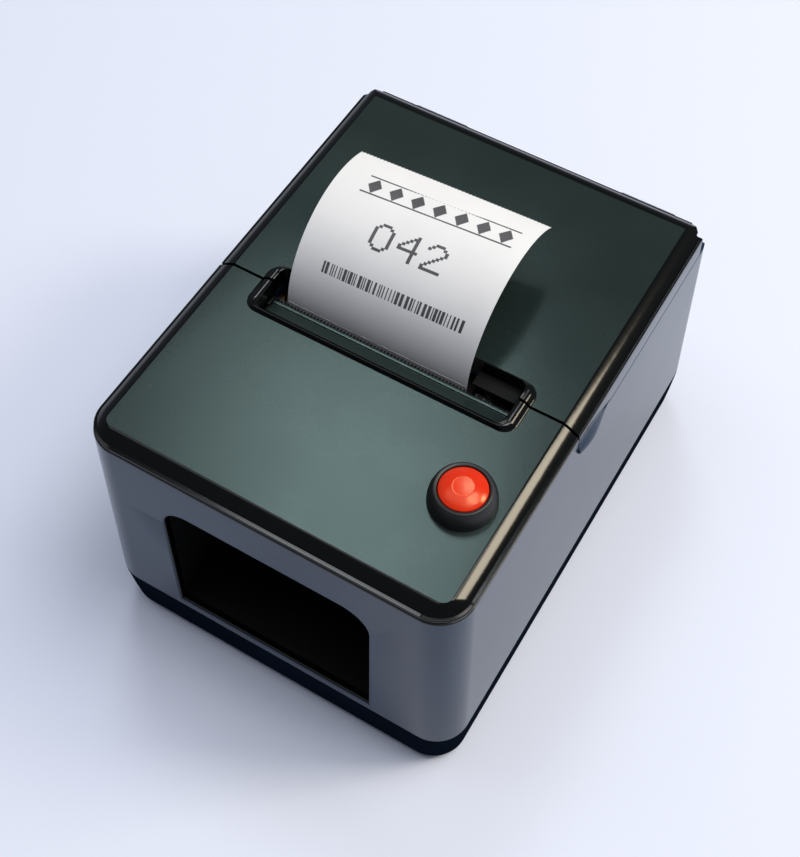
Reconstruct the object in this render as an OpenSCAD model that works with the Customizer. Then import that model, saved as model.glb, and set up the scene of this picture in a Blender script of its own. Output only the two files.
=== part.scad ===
// Countertop queue ticket printer.
// Millimetres. Origin on the table under the middle of the case, +Z up.
// -Y is the face with the cable bay, +X is the side with the push button.

/* [Case] */
// Width of the case at the seam between tray and body
case_w = 110; // [106:1:124]
// Depth of the case at the same seam
case_d = 150; // [146:1:170]
// Height of the flat top plates above the table
case_h = 88; // [86:0.5:96]
// Height of the rubber feet under the tray
foot_h = 2; // [1.5:0.5:4]
// Height of the tray from its underside to the seam
base_h = 15.8; // [14:0.2:18]
// Corner radius of the case in plan
corner_r = 9.6; // [8.5:0.1:11]
// Wall thickness of the body and the lid
wall = 2.2; // [1.8:0.1:2.6]
// How far each wall leans in between the seam and the rim
lean = 2.35; // [1.5:0.05:3]
// Open line between the tray and the body
seam_gap = 0.3; // [0.2:0.05:0.6]

/* [Top plates] */
// Thickness of the raised top plates above the groove
cover_t = 3; // [2.6:0.1:3.6]
// Height of the shadow groove under the top plates
groove = 0.4; // [0.3:0.05:0.8]
// Width of the flat ledge round the top plates
ledge_w = 1.2; // [0.8:0.1:1.8]
// Width of the sloping border between ledge and flat top
bevel_w = 3.3; // [2.5:0.1:4]
// Height of the sloping border
bevel_h = 2.2; // [1.6:0.1:2.4]
// Skin thickness of the top plates
skin_t = 2; // [1.6:0.1:2.2]
// Length of the front cover from the case's front face to the lid seam
cover_reach = 63.5; // [62:0.5:68]
// Width of the open seam between front cover and lid
lid_gap = 0.8; // [0.5:0.1:1.2]

/* [Ticket slot] */
// Length of the slot opening
slot_l = 71; // [70:0.5:72]
// Slot opening in front of the lid seam
slot_front = 8.8; // [8:0.1:10]
// Slot opening behind the lid seam
slot_rear = 5; // [4:0.1:5.4]
// Height of the raised rim round the slot
rim_h = 1.5; // [1:0.1:2.5]
// Width of the raised rim at the slot's ends
rim_end = 3.5; // [2.5:0.1:4.5]
// Width of the raised rim along the slot
rim_side = 1.2; // [1:0.1:2]
// Distance between the teeth of the tear bar
tooth_pitch = 1; // [0.8:0.1:2]

/* [Push button] */
// Distance of the button's axis from the case's right side
button_in = 17.6; // [17:0.1:19]
// Distance of the button's axis in front of the lid seam
button_ahead = 30.9; // [29.5:0.1:33]
// Radius of the bezel where it meets the cover
bezel_r = 8.5; // [7.8:0.1:9.5]
// Height of the bezel above the cover
bezel_h = 5.5; // [4.5:0.1:7]
// Radius of the threaded barrel
barrel_r = 6; // [5.8:0.05:6.2]
// Radius of the button cap
cap_r = 5.7; // [5:0.05:5.8]
// Travel of the button cap
cap_travel = 1.8; // [1:0.1:2.2]

/* [Cable bay] */
// Width of the bay opening
bay_w = 60; // [50:1:61]
// Height of the bay's sill above the seam
bay_sill = 3.7; // [3:0.1:6]
// Height of the bay opening
bay_h = 48.5; // [40:0.5:49]
// Radius of the opening's two upper corners
bay_r = 8; // [4:0.5:12]
// Depth of the bay from the case's front face
bay_depth = 30; // [28:0.5:30.5]
// Wall thickness of the bay liner
liner_t = 1.4; // [1.2:0.1:1.5]

/* [Paper] */
// Width of the paper
paper_w = 53; // [48:0.5:53.4]
// Middle of the paper, measured from the middle of the case
paper_mid = -5; // [-5.5:0.1:-4.8]
// Thickness of the paper, drawn thicker than real paper
paper_t = 0.1; // [0.08:0.01:0.15]
// Clear space on each side of the paper
paper_clear = 0.1; // [0.08:0.01:0.12]
// Outer radius of the paper roll
roll_r = 24; // [18:0.5:24.5]
// Outer radius of the cardboard core
core_r = 6.7; // [6:0.1:8]
// Radius of the curl in the printed ticket
curl_r = 26.6; // [24:0.1:30]
// Angle of the ticket's curl, from slot to free end
curl_angle = 113; // [90:1:120]

/* [Print mechanism] */
// Radius of the rubber platen roller
platen_r = 4.5; // [4:0.1:4.8]
// Radius of the platen's steel shaft
shaft_r = 2; // [1.8:0.1:2.2]
// Height of the flat top plates above the platen's axis
platen_drop = 14; // [13.6:0.1:14.6]
// Tooth size (module) of the gears
gear_m = 0.58; // [0.56:0.01:0.59]
// Teeth on the platen gear
platen_teeth = 18; // [17:1:18]
// Teeth on the idler gear
idler_teeth = 36; // [35:1:37]
// Teeth on the motor pinion
pinion_teeth = 12; // [12:1:14]
// Thickness of the gears
gear_t = 4; // [3:0.5:4.5]
// Radius of the stepper motor
motor_r = 7.5; // [6.5:0.1:7.6]
// Length of the stepper motor
motor_l = 13; // [10:0.5:20]
// Thickness of the mechanism's steel plates
plate_t = 1.2; // [1:0.1:1.4]

/* [Fits] */
// Radial clearance of shafts and hinge pins in their bearings
run_fit = 0.05; // [0.03:0.01:0.08]
// Radial clearance of screws and pins that stay put
seat_fit = 0.02; // [0.01:0.01:0.03]
// Clear space between a moulded part and its neighbour
part_gap = 0.3; // [0.2:0.05:0.4]

/* [Hidden] */

$fn = 48;
sliver = 0.01;            // thickness of the plates that a hull spans
past = 1;                 // how far a cutter reaches beyond what it cuts
sides = [-1, 1];

// Heights
seam_z = foot_h + base_h;
rim_z = case_h - cover_t - groove;
ledge_z = case_h - bevel_h;
under_skin = case_h - skin_t;
floor_t = 2.2;
floor_z = foot_h + floor_t;
skirt_h = 6.8;            // height of the lid's side skirts
skirt_z = rim_z - skirt_h;
skirt_gap = 0.2;
wall_top = skirt_z - skirt_gap;

// Places along the depth
front_y = -case_d / 2;
lid_seam_y = front_y + cover_reach;
slot_y0 = lid_seam_y - slot_front;
slot_y1 = lid_seam_y + slot_rear;
slot_r = 2;
rim_slope = 1;            // how far the rim's outer side leans in

// Hinge at the rear
hinge_r = 1.5;            // pin radius
knuckle_r = 3.2;
hinge_y = case_d / 2 - 5.3;
hinge_z = case_h - 13;
hinge_x = 33;             // middle of each hinge from the middle of the case
ear_w = 5.4;              // width of the lid's ear
ear_gap = 0.3;
fork_w = 5;               // width of each of the body's two ears
lid_rear_y = hinge_y - knuckle_r - 0.5;
shoulder_z = hinge_z - knuckle_r - 0.8;
shoulder_t = 2;
rear_cut_y = lid_rear_y - 4.8;     // where the body's side walls step down

// Platen and paper path, in the plane seen from the +X side
platen_y = lid_seam_y + platen_r;
platen_z = case_h - platen_drop;
roll_back = 37;           // roll axis behind the platen axis
roll_below = 29;          // roll axis below the platen axis
roll_y = platen_y + roll_back;
roll_z = platen_z - roll_below;
path_r = platen_r + paper_clear + paper_t / 2;       // paper round the platen
path_roll_r = roll_r + paper_clear + paper_t / 2;    // paper leaving the roll
path_span = norm([roll_back, roll_below]);
path_n = atan2(roll_below, -roll_back) + acos((path_roll_r - path_r) / path_span);
paper_y = platen_y - path_r;
web_top = case_h - 4.2;
tear_z = case_h - 4;
paper_x0 = paper_mid - paper_w / 2;

// Print mechanism: steel side plates, gears on the +X side
plate_x0 = paper_x0 - 3.5;
plate_x1 = paper_x0 + paper_w + 2.5;
gear_x = plate_x1 + 3.5;
mech_h = 28;              // platen axis above the platform
deck_z = platen_z - mech_h;
mech_y0 = platen_y - 31;
mech_y1 = platen_y + 8;
plate_top = platen_z + 6;
notch_r = shaft_r + 0.8;
head_y = platen_y - path_r - paper_t / 2 - paper_clear;
ceramic_t = 0.6;
sink_t = 3.4;
sink_y = head_y - ceramic_t - sink_t;
pivot_r = 1.25;
pivot_y = head_y - 2.2;
pivot_z = platen_z - 12;
pivot_boss = 2.3;
bar_y = sink_y - 5;       // rear face of the bar that the head springs push on
spring_x = [-22, -2];
spring_z = platen_z + 2;
idler_dir = 262;          // direction from platen axis to idler axis
pinion_dir = 185.5;       // direction from idler axis to motor axis
idler_reach = gear_m * (platen_teeth + idler_teeth) / 2;
pinion_reach = gear_m * (idler_teeth + pinion_teeth) / 2;
idler_c = [platen_y, platen_z] + idler_reach * [cos(idler_dir), sin(idler_dir)];
motor_c = idler_c + pinion_reach * [cos(pinion_dir), sin(pinion_dir)];
web_slot = [paper_x0 + 3, 26];      // start and width of the ribbon's slot in the platform
web_slot_w = 3;
motor_shaft_r = 1;
motor_nose_r = 3;         // collar that centres the motor in its plate
axle_r = 1.5;

// Platen's carriers on the lid
arm_x = plate_t - plate_x0;
arm_t = 2.2;
arm_w = 8;
bush_r = 3;
bush_flange_r = 3.8;
bush_flange_t = 0.8;
lid_deck_t = 2;
lid_deck_z = rim_z - lid_deck_t;

// Roll bucket
tub_side = 1.5;           // clear space between the roll and each side of the well
tub_x0 = paper_x0 - tub_side;
tub_x1 = paper_x0 + paper_w + tub_side;
tub_t = 2;
bucket_top = case_h - 13;
leg_x = case_w / 2 - 10;
leg_r = 3.5;
leg_y = [platen_y - 31, roll_y + 22];
leg_foot = foot_h + 8;    // height at which the legs stand on the tray's bosses
tub_r = roll_r + part_gap;
tub_rear_y = roll_y + tub_r;

// Main board
board_below = 22;         // board's underside below the mechanism's platform
board_z = deck_z - board_below;
board_t = 1.6;
board_x = case_w / 2 - 15;
board_y0 = front_y + bay_depth + 0.4;
board_y1 = platen_y + 15;
board_top = board_z + board_t;
board_hole = [4, 4];      // board screws, in from the board's sides and ends
port_y = front_y + bay_depth - liner_t - 1;

// Bay
bay_z0 = seam_z + bay_sill;

// Push button
button_x = case_w / 2 - button_in;
button_y = lid_seam_y - button_ahead;
cup_z = case_h + 1;
cap_z = cup_z + cap_travel + 0.2;
barrel_z = case_h - 22;
spring_seat = case_h - 12;
plunger_r = 2.2;
spring_r = 3.3;
spring_wire = 0.35;

// Screws: shank radius, head radius, head height
m3 = [1.48, 2.9, 2.4];
m25 = [1.25, 2.3, 1.5];
corner_boss = [case_w / 2 - 7.5, case_d / 2 - 7.5];
boss_r = 4.5;
shelf_z = case_h - 13;
shelf_t = 3;
cover_boss = [[case_w / 2 - 11, front_y + 13], [case_w / 2 - 9.5, lid_seam_y - 7.5]];
cover_boss_r = 3.5;
lid_screw = [[40, lid_seam_y + 16.5], [40, lid_rear_y - 10]];
mech_screw = [[-28, mech_y0 + 5], [0, mech_y0 + 5], [-28, mech_y1 - 7], [0, mech_y1 - 7]];
foot_at = [case_w / 2 - 17, case_d / 2 - 15];
foot_r = 6;
foot_sunk = 0.8;

// How far the wall is drawn in at height z
function drawn_in(z) = lean * (z - seam_z) / (rim_z - seam_z);

// Rounded rectangle about the origin
module rounded(w, d, r) {
    square([w - 2 * r, d], center = true);
    square([w, d - 2 * r], center = true);
    for (x = sides, y = sides) translate([x * (w / 2 - r), y * (d / 2 - r)]) circle(r);
}

// Plan of the case, leaned in and then set in by off
module plan(in, off) {
    w = case_w - 2 * (in + off);
    d = case_d - 2 * (in + off);
    rounded(w, d, max(corner_r - off, 1));
}

// Solid between two plans, each given as [lean, set in, height]
module loft(low, high) {
    hull($fn = 32) {
        translate([0, 0, low[2]]) linear_extrude(sliver) plan(low[0], low[1], $fn = 32);
        translate([0, 0, high[2] - sliver]) linear_extrude(sliver) plan(high[0], high[1], $fn = 32);
    }
}

// Extrusion of a YZ drawing along X
module along_x(x, length) {
    translate([x, 0, 0]) rotate([90, 0, 90]) linear_extrude(length) children();
}

// Box from its lowest corner to its highest
module block(low, high) {
    translate(low) cube(high - low);
}

// Upright cylinder between two heights
module post(x, y, z0, z1, r) {
    translate([x, y, z0]) cylinder(h = z1 - z0, r = r);
}

// The same child at all four corners of a rectangle about the origin
module corners(p) {
    for (x = sides, y = sides) translate([x * p[0], y * p[1], 0]) children();
}

// Screw with its head's bearing face at height z, pointing up
module screw_up(z, length, s) {
    post(0, 0, z - s[2], z, s[1]);
    post(0, 0, z, z + length, s[0]);
}

// Screw with its head's bearing face at height z, pointing down
module screw_down(z, length, s) {
    mirror([0, 0, 1]) screw_up(-z, length, s);
}

// ---- Case ----

// Everything inside the body's outer face between two heights
module shell_outer(off, z0, z1) {
    loft([drawn_in(z0), off, z0], [drawn_in(z1), off, z1]);
}

// Bay opening as seen from the front, grown by g
module bay_outline(g) {
    r = bay_r + g;
    translate([-bay_w / 2 - g, bay_z0 - g]) {
        square([bay_w + 2 * g, bay_h + 2 * g - r]);
        translate([r, 0]) square([bay_w + 2 * g - 2 * r, bay_h + 2 * g]);
        for (x = [r, bay_w + 2 * g - r]) translate([x, bay_h + 2 * g - r]) circle(r);
    }
}

// Extrusion of a front view backwards from y
module along_y(y, length) {
    translate([0, y + length, 0]) rotate([90, 0, 0]) linear_extrude(length) children();
}

// Shelf that a cover screw comes up through
module cover_shelf(p, side) {
    reach = case_w / 2 - wall - drawn_in(shelf_z) + sliver * 20;
    difference() {
        translate([side * p[0], p[1], shelf_z - shelf_t]) linear_extrude(shelf_t) {
            circle(cover_boss_r + 1);
            translate([side > 0 ? 0 : p[0] - reach, -cover_boss_r - 1])
                square([reach - p[0], 2 * cover_boss_r + 2]);
        }
        post(side * p[0], p[1], shelf_z - shelf_t - past, shelf_z + past, m25[0] + part_gap);
    }
}

// Body ears that hold one hinge pin
module fork(x) {
    for (s = sides) {
        x0 = x + s * (ear_w / 2 + ear_gap + fork_w / 2) - fork_w / 2;
        difference() {
            along_x(x0, fork_w) {
                translate([hinge_y, hinge_z]) circle(knuckle_r);
                translate([hinge_y - knuckle_r, shoulder_z - shoulder_t / 2])
                    square([2 * knuckle_r, hinge_z - shoulder_z + shoulder_t / 2]);
            }
            along_x(x0 - past, fork_w + 2 * past)
                translate([hinge_y, hinge_z]) circle(hinge_r + seat_fit);
        }
    }
}

module case_body() color("lightslategray") {
    far = case_w + case_d;
    difference() {
        shell_outer(0, seam_z, rim_z);
        loft([drawn_in(seam_z - past), wall, seam_z - past],
             [drawn_in(rim_z + past), wall, rim_z + past]);
        block([-far, lid_seam_y, wall_top], [far, far, case_h]);
        block([-far, rear_cut_y, shoulder_z], [far, far, case_h]);
        along_y(front_y - past, wall + lean + 2 * past) bay_outline(0);
    }
    // shoulder behind the lid
    translate([0, 0, shoulder_z - shoulder_t]) linear_extrude(shoulder_t) intersection() {
        plan(drawn_in(shoulder_z), wall / 2);
        translate([-case_w, rear_cut_y + part_gap]) square(2 * case_w);
    }
    for (s = sides) {
        fork(s * hinge_x);
        for (p = cover_boss) cover_shelf(p, s);
    }
    corners(corner_boss) difference() {
        post(0, 0, boss_z + part_gap, boss_z + boss_h, boss_r);
        post(0, 0, seam_z, boss_z + boss_h - 2, m3[0] + seat_fit);
    }
}

boss_z = seam_z + 2.2;    // top of the tray's corner posts
boss_h = 14;              // height of the body's bosses over them
tray_wall = 3.6;
tray_in = 1;              // how far the tray's foot is drawn in
tongue_h = 2;
head_z = foot_h + 4;      // where the heads of the chassis screws bear
case_head_z = foot_h + 10;
vent = [2.4, 24];         // width and length of each vent slot
vent_pitch = 6;
vent_rows = [-24, 24];
module base_tray() color("slategray") {
    hole_r = m3[0] + part_gap;
    head_hole = m3[1] + part_gap;
    difference() {
        union() {
            difference() {
                union() {
                    loft([tray_in, 0, foot_h], [0, 0, seam_z - seam_gap]);
                    translate([0, 0, seam_z - seam_gap - past])
                        linear_extrude(tongue_h + seam_gap + past) plan(0, wall + part_gap);
                }
                translate([0, 0, floor_z]) linear_extrude(seam_z) plan(0, tray_wall + tray_in);
            }
            corners(corner_boss) post(0, 0, foot_h, boss_z, boss_r - part_gap);
            for (x = sides, y = leg_y) post(x * leg_x, y, foot_h, leg_foot, leg_r + 1);
            board_posts() post(0, 0, foot_h, board_z, 3);
        }
        corners(corner_boss) {
            post(0, 0, foot_h - past, case_head_z, head_hole);
            post(0, 0, foot_h, boss_z + past, hole_r);
        }
        for (x = sides, y = leg_y) {
            post(x * leg_x, y, foot_h - past, head_z, head_hole);
            post(x * leg_x, y, foot_h, leg_foot + past, hole_r);
        }
        board_posts() post(0, 0, board_z - board_screw_l, board_z + past, m25[0] + seat_fit);
        corners(foot_at) post(0, 0, foot_h - past, foot_h + foot_sunk, foot_r + part_gap);
        for (i = [-4:4], y = vent_rows)
            translate([i * vent_pitch, y, foot_h - past]) linear_extrude(floor_t + 2 * past)
                rounded(vent[0], vent[1], vent[0] * 0.45);
    }
}

module board_posts() {
    for (x = sides, y = [board_y0 + board_hole[1], board_y1 - board_hole[1]])
        translate([x * (board_x - board_hole[0]), y, 0]) children();
}

module rubber_feet() color("dimgray") {
    corners(foot_at) post(0, 0, 0, foot_h + foot_sunk, foot_r);
}

module case_screws() color("silver") {
    corners(corner_boss) screw_up(case_head_z, boss_z + boss_h - 3 - case_head_z, m3);
}

chassis_screw_l = 12;
module chassis_screws() color("silver") {
    for (x = sides, y = leg_y) translate([x * leg_x, y, 0]) screw_up(head_z, chassis_screw_l, m3);
}

// ---- Top plates ----

// Full top plate with ledge, sloping border and hollow underside
plate_edge = 0.3;         // the ledge stands in from the body's rim
seat_in = wall - 0.8;     // the seat stands in behind the shadow groove
seat_w = 2;
module top_plate() {
    ledge_in = plate_edge + ledge_w;
    difference() {
        union() {
            translate([0, 0, rim_z + groove])
                linear_extrude(ledge_z - rim_z - groove) plan(lean, plate_edge);
            loft([lean, ledge_in, ledge_z - sliver], [lean, ledge_in + bevel_w, case_h]);
        }
        loft([lean, seat_in + seat_w, rim_z], [lean, ledge_in + bevel_w + 1.4, under_skin]);
    }
    translate([0, 0, rim_z]) linear_extrude(ledge_z - rim_z) difference() {
        plan(lean, seat_in);
        plan(lean, seat_in + seat_w);
    }
}

// Raised rim round the slot, solid
module slot_rim() {
    y0 = slot_y0 - rim_side;
    y1 = slot_y1 + rim_side;
    w = slot_l + 2 * rim_end;
    translate([0, (y0 + y1) / 2, 0]) hull($fn = 32) {
        translate([0, 0, under_skin]) linear_extrude(skin_t) rounded(w, y1 - y0, 4);
        translate([0, 0, case_h + rim_h - sliver])
            linear_extrude(sliver) rounded(w - 2 * rim_slope, y1 - y0 - rim_slope, 4 - rim_slope / 2);
    }
    // walls that line the slot down to the mechanism
    translate([0, (y0 + y1) / 2, slot_wall_z]) linear_extrude(case_h - slot_wall_z)
        rounded(slot_l + 2 * lining_t, y1 - y0, slot_r + 1);
}
slot_wall_z = lid_deck_z;

// Slot opening between two heights
module slot_cut(z0, z1) {
    translate([0, (slot_y0 + slot_y1) / 2, z0])
        linear_extrude(z1 - z0) rounded(slot_l, slot_y1 - slot_y0, slot_r);
}

module ahead_of_seam() {
    block([-case_w, front_y - past, 0], [case_w, lid_seam_y - lid_gap / 2, 2 * case_h]);
}

module behind_seam() {
    block([-case_w, lid_seam_y + lid_gap / 2, 0], [case_w, case_d, 2 * case_h]);
}

lining_t = 1.5;           // walls that line the slot
shelf_y = slot_y0 - rim_side;
tear_edge = paper_y - paper_t / 2 - 0.7;
shelf_end = tear_edge - 1.8;
bar_seat_z = slot_wall_z - 0.4;
cover_lip = [1.2, 2.5];   // thickness and depth of the lip inside the body's walls
module front_top_cover() color("darkslategray") {
    difference() {
        intersection() {
            union() {
                top_plate();
                slot_rim();
            }
            ahead_of_seam();
        }
        slot_cut(rim_z - 2 * skirt_h, case_h + 2 * rim_h + past);
        post(button_x, button_y, under_skin - past, case_h + past, barrel_r + run_fit);
    }
    // shelf that carries the tear bar, hung on the walls that line the slot
    difference() {
        block([-slot_l / 2 - lining_t, shelf_y, bar_seat_z - lining_t],
              [slot_l / 2 + lining_t, shelf_end, slot_wall_z + 1]);
        block([-slot_l / 2, slot_y0, bar_seat_z], [slot_l / 2, shelf_end + past, case_h]);
    }
    // lip that locates the cover inside the body's walls
    translate([0, 0, rim_z - cover_lip[1]]) linear_extrude(cover_lip[1] + groove) difference() {
        intersection() {
            plan(lean, wall + part_gap);
            translate([-case_w, front_y]) square([2 * case_w, cover_reach - lid_gap - 1]);
        }
        plan(lean, wall + part_gap + cover_lip[0]);
    }
    for (x = sides, p = cover_boss) difference() {
        post(x * p[0], p[1], shelf_z, under_skin + sliver, cover_boss_r);
        post(x * p[0], p[1], shelf_z - past, shelf_z + cover_screw_l - 1, m25[0] + seat_fit);
    }
}

cover_screw_l = 10;
module cover_screws() color("silver") {
    for (x = sides, p = cover_boss)
        translate([x * p[0], p[1], 0]) screw_up(shelf_z - shelf_t, cover_screw_l, m25);
}

tear_l = slot_l - slot_r;
teeth_n = floor((tear_l - 1) / tooth_pitch);
module tear_bar() color("black") {
    tooth = 0.9;
    blade_t = 0.5;
    slope_z = tear_z - 1;
    back_y = slot_y0 + part_gap;
    along_x(-tear_l / 2, tear_l) polygon([
        [back_y, bar_seat_z], [shelf_end, bar_seat_z], [tear_edge - blade_t, slope_z],
        [tear_edge - tooth, tear_z], [back_y, slope_z]]);
    translate([0, tear_edge, tear_z - blade_t]) linear_extrude(blade_t) polygon(concat(
        [[teeth_n * tooth_pitch / 2, -2 * tooth], [-teeth_n * tooth_pitch / 2, -2 * tooth]],
        [for (i = [0:2 * teeth_n])
            [(i - teeth_n) * tooth_pitch / 2, i % 2 == 0 ? -tooth : 0]]));
}

// ---- Lid ----

// Side view of one lid ear round the hinge pin
module lid_ear() {
    translate([hinge_y, hinge_z]) circle(knuckle_r);
    translate([lid_rear_y - 1, hinge_z - knuckle_r + 0.4])
        square([hinge_y - lid_rear_y + 1, 2 * knuckle_r - 0.8]);
}

// Flared finger grip at the front of one side skirt
grip_l = 18;
grip_out = 1.7;
module finger_grip(side) {
    y0 = lid_seam_y + lid_gap / 2;
    x_low = case_w / 2 - drawn_in(skirt_z);
    x_top = case_w / 2 - drawn_in(rim_z);
    root = wall / 2;
    edge = 0.8;
    mirror([side > 0 ? 0 : 1, 0, 0]) hull() {
        translate([0, y0 + sliver, 0]) rotate([90, 0, 0]) linear_extrude(sliver) polygon([
            [x_top - root, rim_z - edge], [x_top - sliver, rim_z - edge],
            [x_low + grip_out, skirt_z + edge], [x_low + grip_out, skirt_z],
            [x_low - root, skirt_z]]);
        block([x_low - root, y0 + grip_l, skirt_z], [x_low - sliver, y0 + grip_l + edge, skirt_z + edge]);
    }
}

// Plan of the lid, w to each side, with small chamfers at its rear corners
module lid_plan(w) {
    cut = 3.2;
    y0 = lid_seam_y + lid_gap / 2;
    polygon([[-w, y0], [w, y0], [w, lid_rear_y - cut], [w - cut, lid_rear_y],
             [-w + cut, lid_rear_y], [-w, lid_rear_y - cut]]);
}

skirt_end = 3.6;          // side skirts stop this far before the lid's rear edge
rear_drop = shoulder_z + 1;
skirt_in = 1.6;           // the rear skirt stands in from the lid's sides
module lid_frame() color("lightslategray") {
    rear_x = case_w / 2 - lean - skirt_in;
    difference() {
        union() {
            intersection() {
                difference() {
                    shell_outer(0, skirt_z, rim_z);
                    loft([drawn_in(skirt_z - past), wall, skirt_z - past],
                         [drawn_in(rim_z + past), wall, rim_z + past]);
                }
                block([-case_w, lid_seam_y + lid_gap / 2, skirt_z],
                      [case_w, lid_rear_y - skirt_end, case_h]);
            }
            for (s = sides) finger_grip(s);
            translate([0, 0, lid_deck_z]) linear_extrude(lid_deck_t) lid_plan(rear_x);
            // rear skirt and its two returns
            translate([0, 0, rear_drop]) linear_extrude(rim_z - rear_drop) difference() {
                lid_plan(rear_x);
                translate([0, -wall]) lid_plan(rear_x - wall);
                translate([-case_w, -case_d]) square([2 * case_w, case_d + lid_rear_y - skirt_end]);
            }
            for (s = sides) along_x(s * hinge_x - ear_w / 2, ear_w) lid_ear();
            for (s = sides) along_x(s > 0 ? arm_x : -arm_x - arm_t, arm_t) {
                translate([platen_y, platen_z]) circle(arm_w / 2);
                translate([platen_y - arm_w / 2, platen_z])
                    square([arm_w, lid_deck_z - platen_z + sliver]);
            }
        }
        slot_cut(skirt_z, case_h);
        block([-slot_l / 2, slot_y0, skirt_z], [slot_l / 2, slot_y1, case_h]);
        along_x(-case_w, 2 * case_w) translate([platen_y, platen_z]) circle(bush_r + seat_fit);
        along_x(-case_w, 2 * case_w) translate([hinge_y, hinge_z]) circle(hinge_r + run_fit);
        for (x = sides, p = lid_screw)
            post(x * p[0], p[1], lid_deck_z - past, case_h, m25[0] + part_gap);
    }
}

// Side view of the lid's top panel: flat, rolling down to a small rear lip
panel_roll = 6;
module panel_side() {
    lip = [1.4, 1];
    roll_at = lid_rear_y - panel_roll - 0.6;
    length = lid_rear_y - lid_seam_y;
    difference() {
        translate([lid_seam_y, rim_z]) square([roll_at + panel_roll - lid_seam_y, case_h - rim_z]);
        translate([roll_at, case_h - panel_roll]) difference() {
            square(2 * panel_roll);
            circle(panel_roll);
        }
    }
    translate([lid_seam_y, rim_z + groove]) square([length, lip[1] - groove]);
    translate([lid_rear_y - lip[0], rim_z]) square(lip);
}

screw_boss_r = 3;
guard_t = 1;
module lid_top_panel() color("darkslategray") {
    hollow_x = case_w / 2 - lean - plate_edge - ledge_w - bevel_w - 1.6;
    difference() {
        union() {
            intersection() {
                top_plate_run();
                along_x(-case_w, 2 * case_w) panel_side();
                linear_extrude(2 * case_h) lid_plan(case_w / 2 - lean - plate_edge);
            }
            intersection() {
                slot_rim();
                behind_seam();
                translate([0, 0, rim_z]) cylinder(r = case_d, h = case_h);
            }
        }
        // hollow underside
        difference() {
            block([-hollow_x, lid_seam_y + lid_gap / 2 + lining_t, rim_z - past],
                  [hollow_x, lid_rear_y - panel_roll - skin_t, under_skin]);
            translate([0, (slot_y0 + slot_y1) / 2, 0]) linear_extrude(case_h)
                rounded(slot_l + 2 * lining_t, slot_y1 - slot_y0 + 2 * rim_side, slot_r + 1);
            for (x = sides, p = lid_screw) post(x * p[0], p[1], 0, case_h, screw_boss_r);
        }
        slot_cut(rim_z - past, case_h + 2 * rim_h + past);
        for (x = sides, p = lid_screw)
            post(x * p[0], p[1], rim_z - past, case_h - 1, m25[0] + seat_fit);
    }
    // guard under the open end of the slot, over the gears
    block([paper_x0 + paper_w + 1, lid_seam_y + lid_gap / 2, rim_z],
          [slot_l / 2 + guard_t / 2, slot_y1 + guard_t / 2, rim_z + guard_t]);
}

// Cross-section of the top plate's border, run straight along the lid's sides
module top_plate_run() {
    x0 = case_w / 2 - lean - plate_edge;
    x1 = x0 - ledge_w;
    x2 = x1 - bevel_w;
    seat = case_w / 2 - lean - seat_in;
    along_y(lid_seam_y + lid_gap / 2, case_d) polygon([
        [-seat, rim_z], [seat, rim_z], [seat, rim_z + groove], [x0, rim_z + groove], [x0, ledge_z],
        [x1, ledge_z], [x2, case_h], [-x2, case_h], [-x1, ledge_z], [-x0, ledge_z],
        [-x0, rim_z + groove], [-seat, rim_z + groove]]);
}

module lid_screws() color("silver") {
    for (x = sides, p = lid_screw)
        translate([x * p[0], p[1], 0]) screw_up(lid_deck_z, lid_deck_t + 2, m25);
}

module hinge_pins() color("silver") {
    length = ear_w + 2 * ear_gap + 2 * fork_w;
    for (s = sides) along_x(s * hinge_x - length / 2, length)
        translate([hinge_y, hinge_z]) circle(hinge_r);
}

// ---- Cable bay and electronics ----

jack_x = -14;
usb_x = 8;
jack_size = [9, 14, 11];
usb_size = [12, 16, 11];
module bay_liner() color("black") {
    back = front_y + bay_depth;
    difference() {
        intersection() {
            along_y(front_y, bay_depth) bay_outline(liner_t);
            loft([drawn_in(seam_z), wall + 0.05, seam_z], [drawn_in(rim_z), wall + 0.05, rim_z]);
        }
        along_y(front_y - past, bay_depth + past - liner_t) bay_outline(0);
        port_cut(jack_x, jack_size);
        port_cut(usb_x, usb_size);
    }
}

// Window in the bay's back for a port that stands on the board
module port_cut(x, s) {
    block([x - s[0] / 2 - part_gap, board_y0 - 6, board_top - part_gap],
          [x + s[0] / 2 + part_gap, board_y0 + past, board_top + s[2] + part_gap]);
}

module power_jack() color("black") {
    z = board_top + jack_size[2] / 2;
    difference() {
        block([jack_x - jack_size[0] / 2, port_y, board_top],
              [jack_x + jack_size[0] / 2, port_y + jack_size[1], board_top + jack_size[2]]);
        translate([jack_x, port_y - past, z]) rotate([-90, 0, 0]) cylinder(h = 10, r = 2.9);
    }
    translate([jack_x, port_y + 1, z]) rotate([-90, 0, 0]) cylinder(h = 9, r = 1);
}

module usb_port() color("silver") {
    z = board_top + usb_size[2] / 2;
    difference() {
        block([usb_x - usb_size[0] / 2, port_y, board_top],
              [usb_x + usb_size[0] / 2, port_y + usb_size[1], board_top + usb_size[2]]);
        block([usb_x - 4.2, port_y - past, z - 3.9], [usb_x + 4.2, port_y + 9, z + 3.9]);
    }
    block([usb_x - 2.8, port_y + 1, z - 1.6], [usb_x + 2.8, port_y + 9.2, z + 1.6]);
}

module main_board() color("darkgreen") {
    difference() {
        block([-board_x, board_y0, board_z], [board_x, board_y1, board_top]);
        board_posts() post(0, 0, board_z - past, board_top + past, m25[0] + part_gap);
    }
}

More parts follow.
